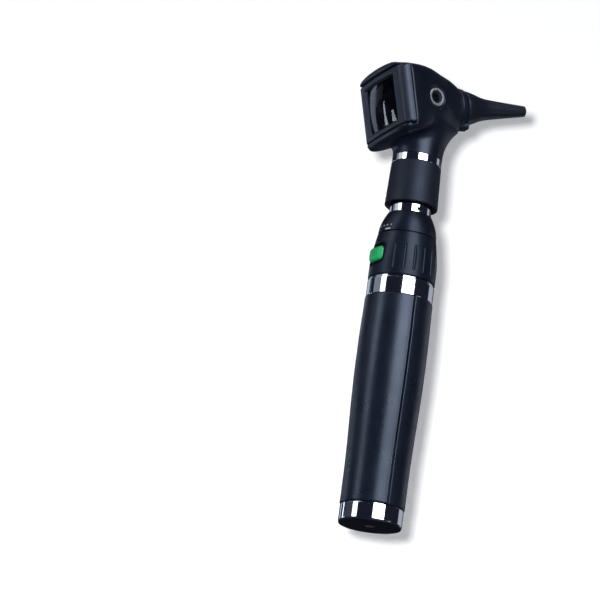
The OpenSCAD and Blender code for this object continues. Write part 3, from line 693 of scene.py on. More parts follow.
def grip_radius(f):
    """Radius of the grip at a share of its length."""
    foot, belly, top = GRIP_RADII
    if f < 0.75:
        return mix(foot, belly, float(step_at((f - 0.13) / 0.55)))
    return mix(belly, top, float(step_at((f - 0.78) / 0.22)))


class OTOSCOPE_OT_grip(bpy.types.Operator):
    """Build the two grip shells with their mould line"""
    bl_idname = "otoscope.grip"
    bl_label = "Grip shells"

    def execute(self, context):
        sizes = context.scene.otoscope_sizes
        edge = sizes.grip_edge / MM
        gap = sizes.mould_line / MM / 2
        length = GRIP_Z1 - GRIP_Z0
        arc = [math.pi / 2 * k / 6 for k in range(7)]
        ends = [(edge * (1 - math.cos(a)), edge * (1 - math.sin(a))) for a in arc]
        inset, rows = edge + 0.15, 60
        middle = [(inset + (length - 2 * inset) * k / rows, 0.0) for k in range(rows + 1)]
        levels = ends + middle + [(length - z, d) for z, d in reversed(ends)]
        for node, side in (("rear_grip_shell", -1), ("front_grip_shell", 1)):
            loops = [self.section(grip_radius(z / length) - d, gap, side, GRIP_Z0 + z) for z, d in levels]
            moulded_piece(node, "handle", "grip_black", self.skin(loops), HANDLE_FRAME, SHARP)
        return {"FINISHED"}

    @staticmethod
    def section(radius, gap, side, z):
        """Outer and inner points of one half of the grip's section, from seam to seam."""
        lip, floor, seam, lip_steps, steps = 0.7, 14.7, 0.01, 9, 90
        outer = [(seam, floor), (gap, floor), (gap, radius - lip)]
        for k in range(1, lip_steps + 1):
            a = math.pi / 2 * k / lip_steps
            outer.append((gap + lip * (1 - math.cos(a)), radius - lip * (1 - math.sin(a))))
        first = math.asin((gap + lip + 0.1) / radius)
        run = [mix(first, math.pi / 2, k / steps) for k in range(steps + 1)]
        outer += [(radius * math.sin(a), radius * math.cos(a)) for a in run]
        outer += [(x, -y) for x, y in reversed(outer[:-1])]
        inner = []
        for x, y in outer:
            a = math.atan2(x, y)
            inner.append((TUBE_RADIUS * math.sin(a), TUBE_RADIUS * math.cos(a)))
        inner[0], inner[-1] = (seam, TUBE_RADIUS), (seam, -TUBE_RADIUS)
        return [(side * x, y, z) for x, y in outer + inner[::-1]]

    @staticmethod
    def skin(loops):
        """Skin over the loops, with both ends closed by strips between outer and inner points."""
        points, faces = loft(loops, caps=False)
        n = len(loops[0])
        for base, flip in ((0, True), ((len(loops) - 1) * n, False)):
            for j in range(n // 2 - 1):
                strip = (base + j, base + j + 1, base + n - 2 - j, base + n - 1 - j)
                faces.append(strip[::-1] if flip else strip)
        return points, faces


class OTOSCOPE_OT_collar(bpy.types.Operator):
    """Build the turning brightness collar with its flutes and the button's pocket"""
    bl_idname = "otoscope.collar"
    bl_label = "Brightness collar"

    def execute(self, context):
        s = context.scene.otoscope_sizes
        height = COLLAR_Z1 - COLLAR_Z0

        def wall(z):
            f = np.clip(((z - COLLAR_Z0) / height - 0.3) / 0.7, 0, 1)
            return mix(*COLLAR_RADII, f ** 1.5)

        def distance(x, y, z):
            r = np.hypot(x, y)
            f = soft_max(r - wall(z), np.abs(z - COLLAR_Z0 - height / 2) - height / 2, 0.4)
            f = soft_max(f, COLLAR_BORE - r, 0.3)
            h = z - BUTTON_Z
            pocket = np.maximum(box_distance(y, h, *POCKET_HALF, POCKET_CORNER), x + POCKET_FLOOR)
            f = soft_max(f, -pocket, 0.7)
            stem = np.maximum(np.hypot(y, h) - STEM_RADIUS - 0.06, x + 9)
            return soft_max(f, -stem, 0.3)

        skin = field_skin(distance, (-16.8, -16.8, COLLAR_Z0 - 1), (16.8, 16.8, COLLAR_Z1 + 1), 0.32)
        body = write_mesh("collar_body", *skin)
        reach = mix(*COLLAR_RADII, 0.16) * MM + s.flute_width / 2 - s.flute_depth
        sizes = {
            "Count": s.flute_places, "Width": s.flute_width, "Half length": 5.8 * MM,
            "Lean": math.radians(3.6), "Height": (COLLAR_Z0 + 9) * MM, "Spread": 0.83,
            "Reach": reach, "Finish": finishes()["collar_black"]}
        mesh = grow("collar_fluted", flute_tree(sizes), sizes, body)
        mesh.transform(HANDLE_FRAME)
        tidy_mesh(mesh, FLUTED_SHARP)
        add_piece(mesh, "rheostat_collar_fluted", "collar", "collar_black", ["rheostat_collar"])
        return {"FINISHED"}


class OTOSCOPE_OT_button(bpy.types.Operator):
    """Build the green lock button"""
    bl_idname = "otoscope.button"
    bl_label = "Lock button"

    def execute(self, context):
        soft = context.scene.otoscope_sizes.button_edge / MM

        def distance(x, y, z):
            h = z - BUTTON_Z
            plate = box_distance(y, h, *BUTTON_HALF, BUTTON_CORNER)
            crown = np.sqrt(x * x + y * y + 0.35 * h * h) - BUTTON_FACE
            f = soft_max(soft_max(plate, crown, soft), x + BUTTON_BACK, 0.4)
            stem = np.maximum(np.hypot(y, h) - STEM_RADIUS, np.maximum(-x - 15.2, x + 11.1))
            f = soft_min(f, stem, 0.3)
            seat = np.maximum(np.abs(np.hypot(y, h) - 2.2) - 0.7, -x - 15.1)
            return np.maximum(f, -seat)

        skin = field_skin(distance, (-17.6, -6.6, BUTTON_Z - 4), (-10.5, 6.6, BUTTON_Z + 4), 0.16)
        moulded_piece("lock_button", "button", "button_green", skin, HANDLE_FRAME, SHARP)
        return {"FINISHED"}


def dome_radius(f):
    """Radius of the dome at a share of its height."""
    return mix(*DOME_RADII, f ** DOME_CURVE)


class OTOSCOPE_OT_dome(bpy.types.Operator):
    """Build the dome above the collar, with plain dial marks"""
    bl_idname = "otoscope.dome"
    bl_label = "Dome"

    def execute(self, context):
        s = context.scene.otoscope_sizes
        height = DOME_Z1 - DOME_Z0
        foot, top = DOME_RADII
        bore, seat, steps = 8.7, DOME_Z1 - 2.3, 40
        curve = [(dome_radius(k / steps), DOME_Z0 + height * k / steps) for k in range(1, steps)]
        turned_piece("dome_turned", "handle", "collar_black", [
            (bore, DOME_Z0), (foot, DOME_Z0, 0.2), *curve, (top, DOME_Z1, 0.15),
            (STUB_RADIUS, DOME_Z1), (STUB_RADIUS, seat), (bore, seat)], ["dome"])
        # share of the dome's height, count, first heading and step in degrees
        rows = ((0.25, 4, 180.0, 10.0), (0.07, 5, 198.0, 2.6))
        for i, (share, count, start, step) in enumerate(rows):
            slope = math.atan((foot - top) * DOME_CURVE * share ** (DOME_CURVE - 1) / height)
            sizes = {"Count": count, "Size": s.mark_size, "Thickness": 0.12 * MM, "Slope": slope,
                     "Reach": dome_radius(share) * MM, "Height": (DOME_Z0 + height * share) * MM,
                     "Start": math.radians(start), "Step": math.radians(step), "Finish": finishes()["marks"]}
            mesh = tidy_mesh(grow("dial_marks", mark_tree(sizes), sizes))
            add_piece(mesh, f"dial_marks_{i}", "handle", "insulator", finish="marks")
        return {"FINISHED"}


class OTOSCOPE_OT_sleeve(bpy.types.Operator):
    """Build the socket sleeve of the head"""
    bl_idname = "otoscope.sleeve"
    bl_label = "Socket sleeve"

    def execute(self, context):
        turned_piece("socket_sleeve_turned", "head", "head_black", [
            (10.7, SLEEVE_Z0 + 0.9, 0.2), (11.85, SLEEVE_Z0, 0.2), (12.7, SLEEVE_Z0, 0.45),
            (12.0, SLEEVE_Z1, 0.35), (SOCKET_RADIUS, SLEEVE_Z1), (SOCKET_RADIUS, SLEEVE_Z0 + 1.8),
            (10.7, SLEEVE_Z0 + 1.8)], ["socket_sleeve"], finish="sleeve")
        return {"FINISHED"}


def slide_place(x, z):
    """Slide-frame place, along and across, of a point given in the head's frame."""
    c, s = math.cos(SLIDE_TILT), math.sin(SLIDE_TILT)
    return x * c + z * s, z * c - x * s


def track_reach(x, y):
    """Distance from the centre of the curved track."""
    return np.hypot(x - TRACK_CENTRE, y)


def housing_distance(u, y, w):
    """Distance, about, to the housing's skin in the head's frame."""
    f = np.clip(u / HOUSING_LENGTH, 0, 1)
    t = (f - 0.12) / 0.86
    width = mix(BARREL_RADIUS, SLIDE_HALF_WIDTH - 0.2, 1 - (step_at(t) + np.clip(t, 0, 1)) / 2)
    top = mix(BARREL_RADIUS + 0.3, ROOF_HALF, 1 - (np.maximum(0, f - 0.1) / 0.9) ** 6)
    under = mix(BARREL_RADIUS, CHIN_HALF, 1 - step_at((f - 0.02) / 0.93))
    crown = 1.2 * (1 - step_at(f / 0.7))
    p = 2 + 6 * (1 - step_at((f - 0.1) / 0.75))
    across = np.abs(y) / width
    h = np.where(w > 0, top - crown * np.minimum(across, 1.2) ** 2, under)
    return ((across ** p + (np.abs(w) / h) ** p + 1e-9) ** (1 / p) - 1) * np.minimum(width, h)


def neck_distance(x, y, z):
    """Distance, about, to the bare flared neck in the part's frame."""
    r = np.hypot(x, y)
    c = x / np.maximum(r, TINY)
    rise = z - NECK_Z0
    f = np.clip(rise / NECK_FLARE, 0, 1) ** 2.2
    drop = REAR[2] - NECK_Z0 - NECK_FLARE
    front = (REAR[0] + (HOUSING_LENGTH - 0.25 + drop * math.sin(HEAD_TILT)) / math.cos(HEAD_TILT)
             - NECK_RADIUS - 2)
    cap = np.sqrt(np.maximum(0, 1 - (np.maximum(0, rise - NECK_FLARE) / 12) ** 2))
    reach = cap * (NECK_RADIUS + f * (2 + front * np.maximum(0, c) ** 6 + 2.5 * np.maximum(0, -c) ** 2))
    return np.maximum(r - reach, rise - NECK_FLARE - 6)


class OTOSCOPE_OT_housing(bpy.types.Operator):
    """Build the moulded head housing with its neck, barrel, roof and chin"""
    bl_idname = "otoscope.housing"
    bl_label = "Head housing"

    def execute(self, context):
        soft = context.scene.otoscope_sizes.housing_edge / MM
        fillet, chin_edge, rear_bore, boss_radius, boss_length = 5.0, 3.6, 13.2, 5.6, 5.7
        tilt_c, tilt_s = math.cos(HEAD_TILT), math.sin(HEAD_TILT)
        port_back = np.array((HEAD_FRAME.inverted() @ PORT_FRAME).inverted(), float)

        def distance(u, y, w):
            x = REAR[0] + u * tilt_c - w * tilt_s
            z = REAR[2] + u * tilt_s + w * tilt_c
            r = np.hypot(x, y)
            us, ws = slide_place(u, w)
            reach = track_reach(us, y)
            shell = housing_distance(u, y, w)
            f = np.minimum(shell, soft_min(neck_distance(x, y, z), shell + 0.12, fillet))
            rear_edge = mix(chin_edge, soft, step_at((w + 16) / 6))
            f = soft_max(f, reach - TRACK_RADIUS - REAR_LIP, rear_edge)
            f = np.maximum(np.maximum(f, u - HOUSING_LENGTH), NECK_Z0 - z)
            across, along, out = (a * u + b * y + c * w + d for a, b, c, d in port_back[:3])
            port = np.hypot(across, along)
            f = soft_min(f, soft_max(port - boss_radius, np.maximum(out - boss_length, -out), 0.6), 1.0)
            taper = mix(rear_bore, BARREL_BORE, (u + 8) / (HOUSING_LENGTH + 2))
            f = soft_max(f, np.maximum(taper, BARREL_BORE) - np.hypot(y, w), 0.4)
            f = np.maximum(f, -np.maximum(r - SOCKET_RADIUS, z - NECK_Z0 - 3.8))
            f = np.maximum(f, -np.maximum(r - 9, z - NECK_Z0 - 20))
            f = np.maximum(f, -np.maximum(port - PORT_RADIUS, np.maximum(-out - 8, out - 12)))
            f = soft_max(f, -np.maximum(port - PORT_RIM, PORT_STEP - out), 0.3)
            slot = np.maximum(TRACK_RADIUS - SLIDE_DEPTH - 0.8 - reach, np.abs(ws) - SLOT_HALF)
            rib = np.maximum(np.abs(reach - TRACK_RADIUS + RIB_DEPTH) - 0.5, SLOT_HALF - 0.6 - np.abs(ws))
            return soft_max(f, -np.maximum(slot, -rib), 1.5 * soft)

        skin = field_skin(distance, (-4.4, -24.8, -28.5), (39.6, 24.8, 19.2), 0.42)
        moulded_piece("head_housing", "head", "head_black", skin, HEAD_FRAME)
        return {"FINISHED"}


class OTOSCOPE_OT_slide(bpy.types.Operator):
    """Build the lens slide and its magnifier"""
    bl_idname = "otoscope.slide"
    bl_label = "Lens slide"

    def execute(self, context):
        soft = context.scene.otoscope_sizes.slide_edge / MM

        def distance(x, y, z):
            reach = track_reach(x, y)
            f = round_max(reach - TRACK_RADIUS, np.abs(y) - SLIDE_HALF_WIDTH - 0.5, 4.0)
            f = soft_max(f, TRACK_RADIUS - SLIDE_DEPTH - reach, 0.3)
            f = soft_max(f, np.abs(z) - SLIDE_HALF_HEIGHT, soft)
            groove = np.maximum(np.abs(reach - TRACK_RADIUS + RIB_DEPTH) - 0.65,
                                SLIDE_HALF_HEIGHT - 0.5 - np.abs(z))
            f = np.maximum(f, -groove)
            opening = box_distance(y, z, *WINDOW_HALF, WINDOW_CORNER)
            f = soft_max(f, -opening, 0.3)
            seat = np.maximum(box_distance(y, z, *SEAT_HALF, SEAT_CORNER), -TRACK_SAG + LENS_SEAT - x)
            f = np.maximum(f, -seat)
            share = (x + TRACK_SAG + 0.2) / 2.2
            bevel = np.maximum(np.abs(y) - mix(17.6, 14.8, share), np.abs(z) - mix(12.0, 10.6, share))
            bevel = np.maximum(bevel * 0.75, x + TRACK_SAG - 2.0)
            return soft_max(f, -bevel, 0.35)

        skin = field_skin(distance, (-2.8, -24.9, -15), (6.4, 24.9, 15), 0.3)
        moulded_piece("lens_frame", "lens", "slide_black", skin, SLIDE_FRAME)
        mesh = write_mesh("magnifier", *loft(self.lens_loops()), SLIDE_FRAME, MOULDED_SHARP)
        add_piece(mesh, "magnifier_ground", "lens", "lens_clear", ["magnifier_lens"])
        mesh.materials.append(finishes()["lens_coat"])
        ahead = SLIDE_FRAME.to_3x3() @ Vector((1, 0, 0))
        for face in mesh.polygons:
            face.material_index = int(face.normal.dot(ahead) > 0.9)
        return {"FINISHED"}

    @staticmethod
    def lens_loops():
        """Loops over the curved rear face, the rim and the flat front face of the lens."""
        curve, corner, thick, rear_steps, front_steps = 75.0, WINDOW_CORNER, 2.2, 24, 6
        seat = -TRACK_SAG + LENS_SEAT
        pole = -TRACK_SAG + 0.2
        window, edge, flat = (14.9, 10.7), (15.75, 11.55), (15.7, 11.5)

        def ring(half, share=1.0):
            a, b = half
            corners = [(a, b, corner), (-a, b, corner), (-a, -b, corner), (a, -b, corner)]
            return [(y * share, z * share) for y, z in dense(rounded(corners, 8), far=1.2)]

        loops = [[(pole + curve - math.sqrt(curve ** 2 - y * y - z * z), y, z)
                  for y, z in ring(window, k / rear_steps)] for k in range(1, rear_steps + 1)]
        for x, half in ((seat, window), (seat, edge), (seat + thick - 0.05, edge), (seat + thick, flat)):
            loops.append([(x, y, z) for y, z in ring(half)])
        for k in range(front_steps - 1, 0, -1):
            loops.append([(seat + thick, y, z) for y, z in ring(flat, k / front_steps)])
        return loops


class OTOSCOPE_OT_port(bpy.types.Operator):
    """Build the metal ring of the side port, and a near-black sleeve in its bore as painted shade for the
    dark hole
    """
    bl_idname = "otoscope.port"
    bl_label = "Side port"

    def execute(self, context):
        turned_piece("port_ring_polished", "head", "chrome", [
            (3.0, 1), (PORT_RADIUS, 1), (PORT_RADIUS, PORT_STEP), (PORT_RIM, PORT_STEP), (4.55, 5.4, 0.35),
            (3.3, 5.4, 0.3), (3.0, 4.9, 0.1)], ["port_ring"], PORT_FRAME, "satin")
        # near-black sleeve inside the ring's bore: painted shade that makes the hole look dark
        turned_piece("port_shade_sleeve", "head", "nose_black", [
            (2.2, 1, 0.05), (2.98, 1), (2.98, 4.7, 0.1), (2.2, 4.2, 0.2)], [], PORT_FRAME)
        return {"FINISHED"}


def funnel_radius(s):
    """Outer radius of the speculum at a share of its length."""
    rim, knee, tip = FUNNEL_RADII
    if s < FUNNEL_KNEE:
        bend = float(step_at(s / FUNNEL_KNEE * 0.88)) / float(step_at(0.88))
        return mix(rim, knee, bend ** 0.9)
    return mix(knee, tip, ((s - FUNNEL_KNEE) / (1 - FUNNEL_KNEE)) ** 0.9)


class OTOSCOPE_OT_front(bpy.types.Operator):
    """Build the front collar of the barrel and the ear funnel"""
    bl_idname = "otoscope.front"
    bl_label = "Front collar and speculum"

    def execute(self, context):
        front = HOUSING_LENGTH + 3.2

        def distance(u, y, w):
            r = np.hypot(y, w)
            f = soft_max(r - BARREL_RADIUS + 0.22 * np.maximum(0, u - HOUSING_LENGTH - 0.6),
                         np.maximum(HOUSING_LENGTH - u, u - front), 0.4)
            catch = np.maximum(box_distance(y, w + BARREL_RADIUS - 0.9, 3.5, 1.8, 1.7),
                               np.maximum(HOUSING_LENGTH - u, u - HOUSING_LENGTH - 5.6))
            f = soft_min(f, catch, 0.4)
            return soft_max(f, BARREL_BORE + np.where(u > front, 0.2, 0) - r, 0.3)

        skin = field_skin(distance, (37.6, -11, -11.6), (45.4, 11, 11), 0.25)
        moulded_piece("front_collar", "head", "head_black", skin, HEAD_FRAME)
        rim, wall, fuller, steps = front + 0.8, 0.75, 1.09, 64
        bare = [(funnel_radius(k / steps), rim + FUNNEL_LENGTH * k / steps) for k in range(steps + 1)]
        outer = [(fuller * r, z) for r, z in bare]
        inner = [(r - wall, z) for r, z in reversed(bare)]
        corners = [(*outer[0], 0.25)] + outer[1:-1] + [(*outer[-1], 0.3), (*inner[0], 0.2)] + inner[1:]
        turned_piece("speculum_moulded", "speculum", "speculum_black", corners, ["speculum"], AXIS_FRAME)
        return {"FINISHED"}


class OTOSCOPE_OT_springs(bpy.types.Operator):
    """Build the battery spring and the button's spring"""
    bl_idname = "otoscope.springs"
    bl_label = "Springs"

    def execute(self, context):
        gauge = context.scene.otoscope_sizes.spring_wire
        steel = finishes()["steel"]
        low, high = (v.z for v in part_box("battery_spring"))
        sizes = {"Radius": 6.6 * MM, "Height": high - low - gauge, "Turns": 6.0,
                 "Wire": gauge, "Finish": steel}
        tree = spring_tree(sizes)
        mesh = grow("battery_coil", tree, sizes)
        mesh.transform(Matrix.Translation((0, 0, low + gauge / 2)))
        add_piece(tidy_mesh(mesh), "battery_spring_coil", "cap", "steel", ["battery_spring"])
        fine = gauge * 0.55
        sizes = {"Radius": 2.1 * MM, "Height": 2.1 * MM - fine, "Turns": 3.0,
                 "Wire": fine, "Finish": steel}
        mesh = grow("button_coil", tree, sizes)
        mesh.transform(HANDLE_FRAME @ Matrix.Translation((-14.8 * MM + fine / 2, 0, BUTTON_Z * MM))
                       @ Matrix.Rotation(math.pi / 2, 4, "Y"))
        coil = add_piece(tidy_mesh(mesh), "button_spring_coil", "collar", "steel", ["button_spring"])
        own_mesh(coil)
        return {"FINISHED"}


class OTOSCOPE_OT_inside(bpy.types.Operator):
    """Give the pieces inside their finishes"""
    bl_idname = "otoscope.inside"
    bl_label = "Inside pieces"

    def execute(self, context):
        slots = {row["node"]: row["material_slot"] for row in frame["record"]["subparts"]}
        for name, obj in frame["nodes"].items():
            finish = finishes()[slots[name]]
            if not obj.material_slots:
                obj.data.materials.append(finish)
            for place in obj.material_slots:
                place.material = finish
        return {"FINISHED"}


# Stage, in metres

MIDDLE = Vector((0, 0, 0.112))
AIM_LEFT, AIM_DOWN = 0.0470, 0.00203  # from the middle to where the camera looks
SHEET_REACH, SHEET_HALF = 0.15, 0.7
CARD_REACH, WINDOW_REACH = 0.9, 0.86
CARD_LOW, CARD_HIGH = -1.2, 2.6
PANEL_REACH, PANEL_LOW, PANEL_HIGH = 0.8, 0.15, 1.35
SHADOW_SHIFT = 0.0047  # of the object's shadow on the sheet behind it


def aim(obj, place, target):
    """Puts an object at a place, its -Z towards a target."""
    back = (Vector(place) - Vector(target)).normalized()
    obj.matrix_world = Matrix.Translation(place) @ back.to_track_quat("Z", "Y").to_matrix().to_4x4()


def hide_from(obj, *rays):
    """Hides an object from some kinds of rays."""
    for ray in rays:
        setattr(obj, "visible_" + ray, False)


def ray_kind(tree, *names):
    """1 for rays of any of these kinds."""
    path = add_node(tree, "ShaderNodeLightPath")
    value = path.outputs[names[0]]
    for name in names[1:]:
        value = math_node(tree, "MAXIMUM", value, path.outputs[name])
    return value


def bare_tree(owner):
    """Empty node tree of a new material or world."""
    owner.use_nodes = True
    owner.node_tree.nodes.clear()
    return owner.node_tree


def glow_material(name, colour, strength=1.0):
    """Plain glowing card."""
    material = bpy.data.materials.new(name)
    tree = bare_tree(material)
    glow = add_node(tree, "ShaderNodeEmission", {"Color": (*colour, 1), "Strength": strength})
    add_node(tree, "ShaderNodeOutputMaterial", {"Surface": glow.outputs[0]})
    return material


def sheet_material(name, glow):
    """White sheet that shows on its front only, keeps the object's shadow and lets mirrored rays pass."""
    material = bpy.data.materials.new(name)
    tree = bare_tree(material)
    matt = add_node(tree, "ShaderNodeBsdfDiffuse", {"Color": (0.9, 0.9, 0.9, 1)}).outputs[0]
    lift = add_node(tree, "ShaderNodeEmission", {"Color": (1, 1, 1, 1), "Strength": glow}).outputs[0]
    white = add_node(tree, "ShaderNodeAddShader", {0: matt, 1: lift}).outputs[0]
    seen = ray_kind(tree, "Is Camera Ray")
    front = add_node(tree, "ShaderNodeMixShader", {0: seen, 1: matt, 2: white}).outputs[0]
    through = add_node(tree, "ShaderNodeBsdfTransparent").outputs[0]
    back = add_node(tree, "ShaderNodeNewGeometry").outputs["Backfacing"]
    passing = ray_kind(tree, "Is Shadow Ray", "Is Glossy Ray", "Is Transmission Ray")
    hidden = math_node(tree, "MAXIMUM", back, passing)
    both = add_node(tree, "ShaderNodeMixShader", {0: hidden, 1: front, 2: through})
    add_node(tree, "ShaderNodeOutputMaterial", {"Surface": both.outputs[0]})
    return material


def stage_mesh(name, points, faces, material):
    """Mesh of the stage, in metres."""
    mesh = bpy.data.meshes.new(name)
    mesh.from_pydata(points, [], faces)
    mesh.materials.append(material)
    obj = bpy.data.objects.new(name, mesh)
    bpy.context.scene.collection.objects.link(obj)
    return obj


def level_square(name, half, z, material):
    """Level square of the stage."""
    corners = [(-half, -half, z), (half, -half, z), (half, half, z), (-half, half, z)]
    return stage_mesh(name, corners, [(0, 1, 2, 3)], material)


def area_lamp(name, shape, place, target, hidden):
    """Lamp at a place, turned to a target and hidden from some rays; returns its settings."""
    data = bpy.data.lights.new(name, "AREA")
    data.shape = shape
    lamp = bpy.data.objects.new(name, data)
    bpy.context.scene.collection.objects.link(lamp)
    aim(lamp, place, target)
    hide_from(lamp, *hidden)
    return data


class OTOSCOPE_OT_stage(bpy.types.Operator):
    """Build the camera, the white sheet, the lamps and the reflection cards"""
    bl_idname = "otoscope.stage"
    bl_label = "Stage"

    def execute(self, context):
        stage = context.scene.otoscope_stage
        scene = context.scene
        scene.view_settings.view_transform = "Standard"
        a, e = stage.azimuth, stage.elevation
        back = Vector((math.sin(a) * math.cos(e), -math.cos(a) * math.cos(e), math.sin(e)))
        self.towards = Vector((math.sin(a), -math.cos(a), 0))
        self.right = Vector((math.cos(a), math.sin(a), 0))
        self.camera(scene, stage, back)
        self.world(scene, stage)
        self.sheets()
        self.lamps(stage)
        self.flags()
        return {"FINISHED"}

    def heading(self, degrees):
        """Horizontal direction at an angle to the camera's, positive to the camera's right."""
        t = math.radians(degrees)
        return self.towards * math.cos(t) + self.right * math.sin(t)

    def camera(self, scene, stage, back):
        """Camera that looks up at the object and keeps it right of the picture's middle."""
        side = self.right
        up = back.cross(side)
        c, s = math.cos(stage.roll), math.sin(stage.roll)
        right, top = side * c + up * s, up * c - side * s
        place = MIDDLE + back * stage.distance
        aimed = (place - (MIDDLE - AIM_LEFT * right - AIM_DOWN * top)).normalized()
        right = (right - aimed * right.dot(aimed)).normalized()
        top = aimed.cross(right)
        data = bpy.data.cameras.new("Camera")
        data.lens = stage.lens
        data.sensor_width = 36
        data.clip_start, data.clip_end = 0.01, 50
        camera = bpy.data.objects.new("Camera", data)
        scene.collection.objects.link(camera)
        turn = Matrix((right, top, aimed)).transposed().to_4x4()
        camera.matrix_world = Matrix.Translation(place) @ turn
        scene.camera = camera
        self.eye, self.eye_right, self.eye_up = place, right, top

    def world(self, scene, stage):
        """White to the camera, mirrors and glass, dim to matt surfaces."""
        scene.world = bpy.data.worlds.new("Studio")
        tree = bare_tree(scene.world)
        cool = (0.93, 0.97, 1.05, 1)
        white = add_node(tree, "ShaderNodeBackground", {"Color": (1, 1, 1, 1), "Strength": 1.0})
        dim = add_node(tree, "ShaderNodeBackground", {"Color": cool, "Strength": stage.ambient})
        seen = ray_kind(tree, "Is Camera Ray", "Is Glossy Ray", "Is Transmission Ray")
        both = add_node(tree, "ShaderNodeMixShader", {0: seen, 1: dim.outputs[0], 2: white.outputs[0]})
        add_node(tree, "ShaderNodeOutputWorld", {"Surface": both.outputs[0]})

    def sheets(self):
        """Upright white sheet behind the object, and a floor."""
        middle = -self.towards * SHEET_REACH + Vector((0, 0, 0.1))
        half, tall = SHEET_HALF * self.right, Vector((0, 0, SHEET_HALF))
        corners = [middle - half - tall, middle + half - tall, middle + half + tall, middle - half + tall]
        stage_mesh("Backdrop", corners, [(0, 1, 2, 3)], sheet_material("White sheet", 0.13))
        level_square("Floor", SHEET_HALF, 0, sheet_material("White floor", 0.6))

    def lamps(self, stage):
        """Two tall light panels that shape the highlights, and a lamp beside the camera."""
        middle = Vector((0, 0, (PANEL_LOW + PANEL_HIGH) / 2))
        for name, heading, width, glow in (("Panel right", 26, 42, stage.panel_glow),
                                           ("Panel left", -62.8, 19, 0.48 * stage.panel_glow)):
            place = self.heading(heading) * PANEL_REACH + middle
            panel = area_lamp(name, "RECTANGLE", place, middle, ("camera", "diffuse"))
            panel.size = 2 * PANEL_REACH * math.tan(math.radians(width / 2))
            panel.size_y = PANEL_HIGH - PANEL_LOW
            panel.energy = glow * math.pi * panel.size * panel.size_y
            panel.color = (0.86, 0.9, 1.0)
        shift = SHADOW_SHIFT * (stage.distance + SHEET_REACH) / SHEET_REACH
        place = self.eye + (self.eye_up - self.eye_right) * shift
        key = area_lamp("Key", "DISK", place, MIDDLE, ("camera", "glossy", "transmission"))
        key.size = 0.06
        key.energy = stage.key_power

    def flags(self):
        """Cards round the object that only mirrored and refracted rays see."""
        dark = glow_material("Dark card", (0.011, 0.013, 0.022))
        dim = glow_material("Dim card", (0.045, 0.05, 0.065))
        half = glow_material("Half card", (0.09, 0.105, 0.13))
        grey = glow_material("Grey card", (0.19, 0.22, 0.27))
        light = glow_material("Light card", (0.38, 0.41, 0.49))
        bright = glow_material("Bright card", (0.58, 0.62, 0.70))
        strip = glow_material("Window strip", (0.78, 0.92, 1.0), 3.6)
        leaf = glow_material("Far window", (0.44, 0.51, 0.66))
        soft = glow_material("Soft panel", (0.9, 0.94, 1.0), 1.2)
        deep = glow_material("Deep card", (0.026, 0.030, 0.052))
        low, high = CARD_LOW, CARD_HIGH
        rows = (
            ("Card middle", -60, 10, low, high, dark),
            ("Card right", 42, 115, low, high, dark),
            ("Card back right low", 115, 152, low, 0.16, dark),
            ("Card back right middle", 115, 152, 0.16, 0.42, light),
            ("Card back right", 115, 152, 0.42, high, dim),
            ("Card back", 152, 195, low, high, dim),
            ("Card back left low", -165, -104, low, 0.33, deep),
            ("Card back left middle", -165, -130, 0.33, 0.42, grey),
            ("Card step", -130, -121, 0.33, 0.42, half),
            ("Card back left", -165, -112, 0.42, high, dark),
            ("Card gap", -121, -104, 0.33, 0.42, dark),
            ("Card left low", -104, -66, low, 0.31, dim),
            ("Card left middle", -104, -66, 0.31, 0.42, grey),
            ("Card left soft", -112, -97, 0.42, high, grey),
            ("Card left", -97, -66, 0.42, high, bright))
        for name, first, last, foot, head, material in rows:
            self.card(name, (first, last), (first, last), foot, head, CARD_REACH, material)
        windows = (
            ("Window one low", (-125, -119), (-122.5, -119), 0.025, 0.168, strip),
            ("Window one high", (-122.5, -119), (-120.2, -119.2), 0.168, 0.29, strip),
            ("Window one side", (-134, -125), (-126, -122.5), 0.025, 0.168, leaf),
            ("Window two", (-113.5, -107.6), (-111.2, -108.2), 0.045, 0.172, strip),
            ("Window far", (-147, -141), (-156, -131), 0.05, 0.46, leaf),
            ("Window right", (105, 125), (105, 125), 0.4, 0.58, light),
            ("Panel behind", (139, 148), (139, 148), -0.39, -0.02, soft),
            ("Panel right low", (62, 78), (62, 78), -0.39, -0.08, soft))
        for name, feet, heads, foot, head, material in windows:
            self.card(name, feet, heads, foot, head, WINDOW_REACH, material)
        self.only_mirrored(level_square("Card below", CARD_REACH, -0.4, dark))

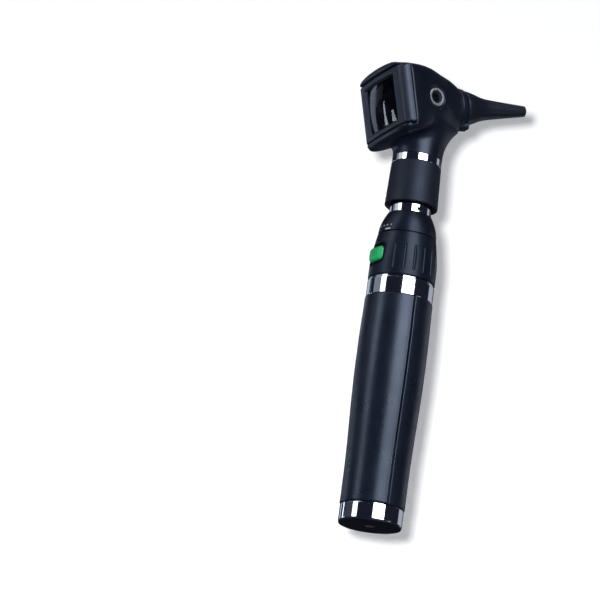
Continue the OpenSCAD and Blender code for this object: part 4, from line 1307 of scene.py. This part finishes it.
    def card(self, name, feet, heads, foot, head, reach, material):
        """Curved card from its headings at the foot to those at the head, between two heights."""
        count = 16
        points = []
        for k in range(count + 1):
            for (first, last), z in ((feet, foot), (heads, head)):
                points.append(self.heading(mix(first, last, k / count)) * reach + Vector((0, 0, z)))
        faces = [(2 * k, 2 * k + 2, 2 * k + 3, 2 * k + 1) for k in range(count)]
        self.only_mirrored(stage_mesh(name, points, faces, material))

    @staticmethod
    def only_mirrored(obj):
        """Lets only mirrored and refracted rays see a card."""
        hide_from(obj, "camera", "diffuse", "shadow", "volume_scatter")


OPERATORS = (
    OTOSCOPE_OT_stage, OTOSCOPE_OT_inside, OTOSCOPE_OT_end_cap, OTOSCOPE_OT_rings, OTOSCOPE_OT_grip,
    OTOSCOPE_OT_collar, OTOSCOPE_OT_button, OTOSCOPE_OT_dome, OTOSCOPE_OT_sleeve, OTOSCOPE_OT_housing,
    OTOSCOPE_OT_slide, OTOSCOPE_OT_port, OTOSCOPE_OT_front, OTOSCOPE_OT_springs)


class OTOSCOPE_PT_panel(bpy.types.Panel):
    """Lists the steps that build the otoscope"""
    bl_idname = "OTOSCOPE_PT_panel"
    bl_label = "Otoscope"
    bl_space_type = "VIEW_3D"
    bl_region_type = "UI"
    bl_category = "Otoscope"

    def draw(self, context):
        column = self.layout.column()
        for operator in OPERATORS:
            column.operator(operator.bl_idname)


GROUPS = {"otoscope_sizes": OtoscopeSizes, "otoscope_colours": OtoscopeColours,
          "otoscope_stage": OtoscopeStage}
CLASSES = (*GROUPS.values(), *OPERATORS, OTOSCOPE_PT_panel)


def register():
    """Registers the classes and the scene's settings."""
    for cls in CLASSES:
        bpy.utils.register_class(cls)
    for name, group in GROUPS.items():
        setattr(bpy.types.Scene, name, PointerProperty(type=group))


def unregister():
    """Takes everything back that register() added."""
    for name in GROUPS:
        delattr(bpy.types.Scene, name)
    for cls in reversed(CLASSES):
        bpy.utils.unregister_class(cls)


def main():
    """Builds the whole scene."""
    register()
    for operator in OPERATORS:
        group, name = operator.bl_idname.split(".")
        getattr(getattr(bpy.ops, group), name)()


if __name__ == "__main__":
    main()
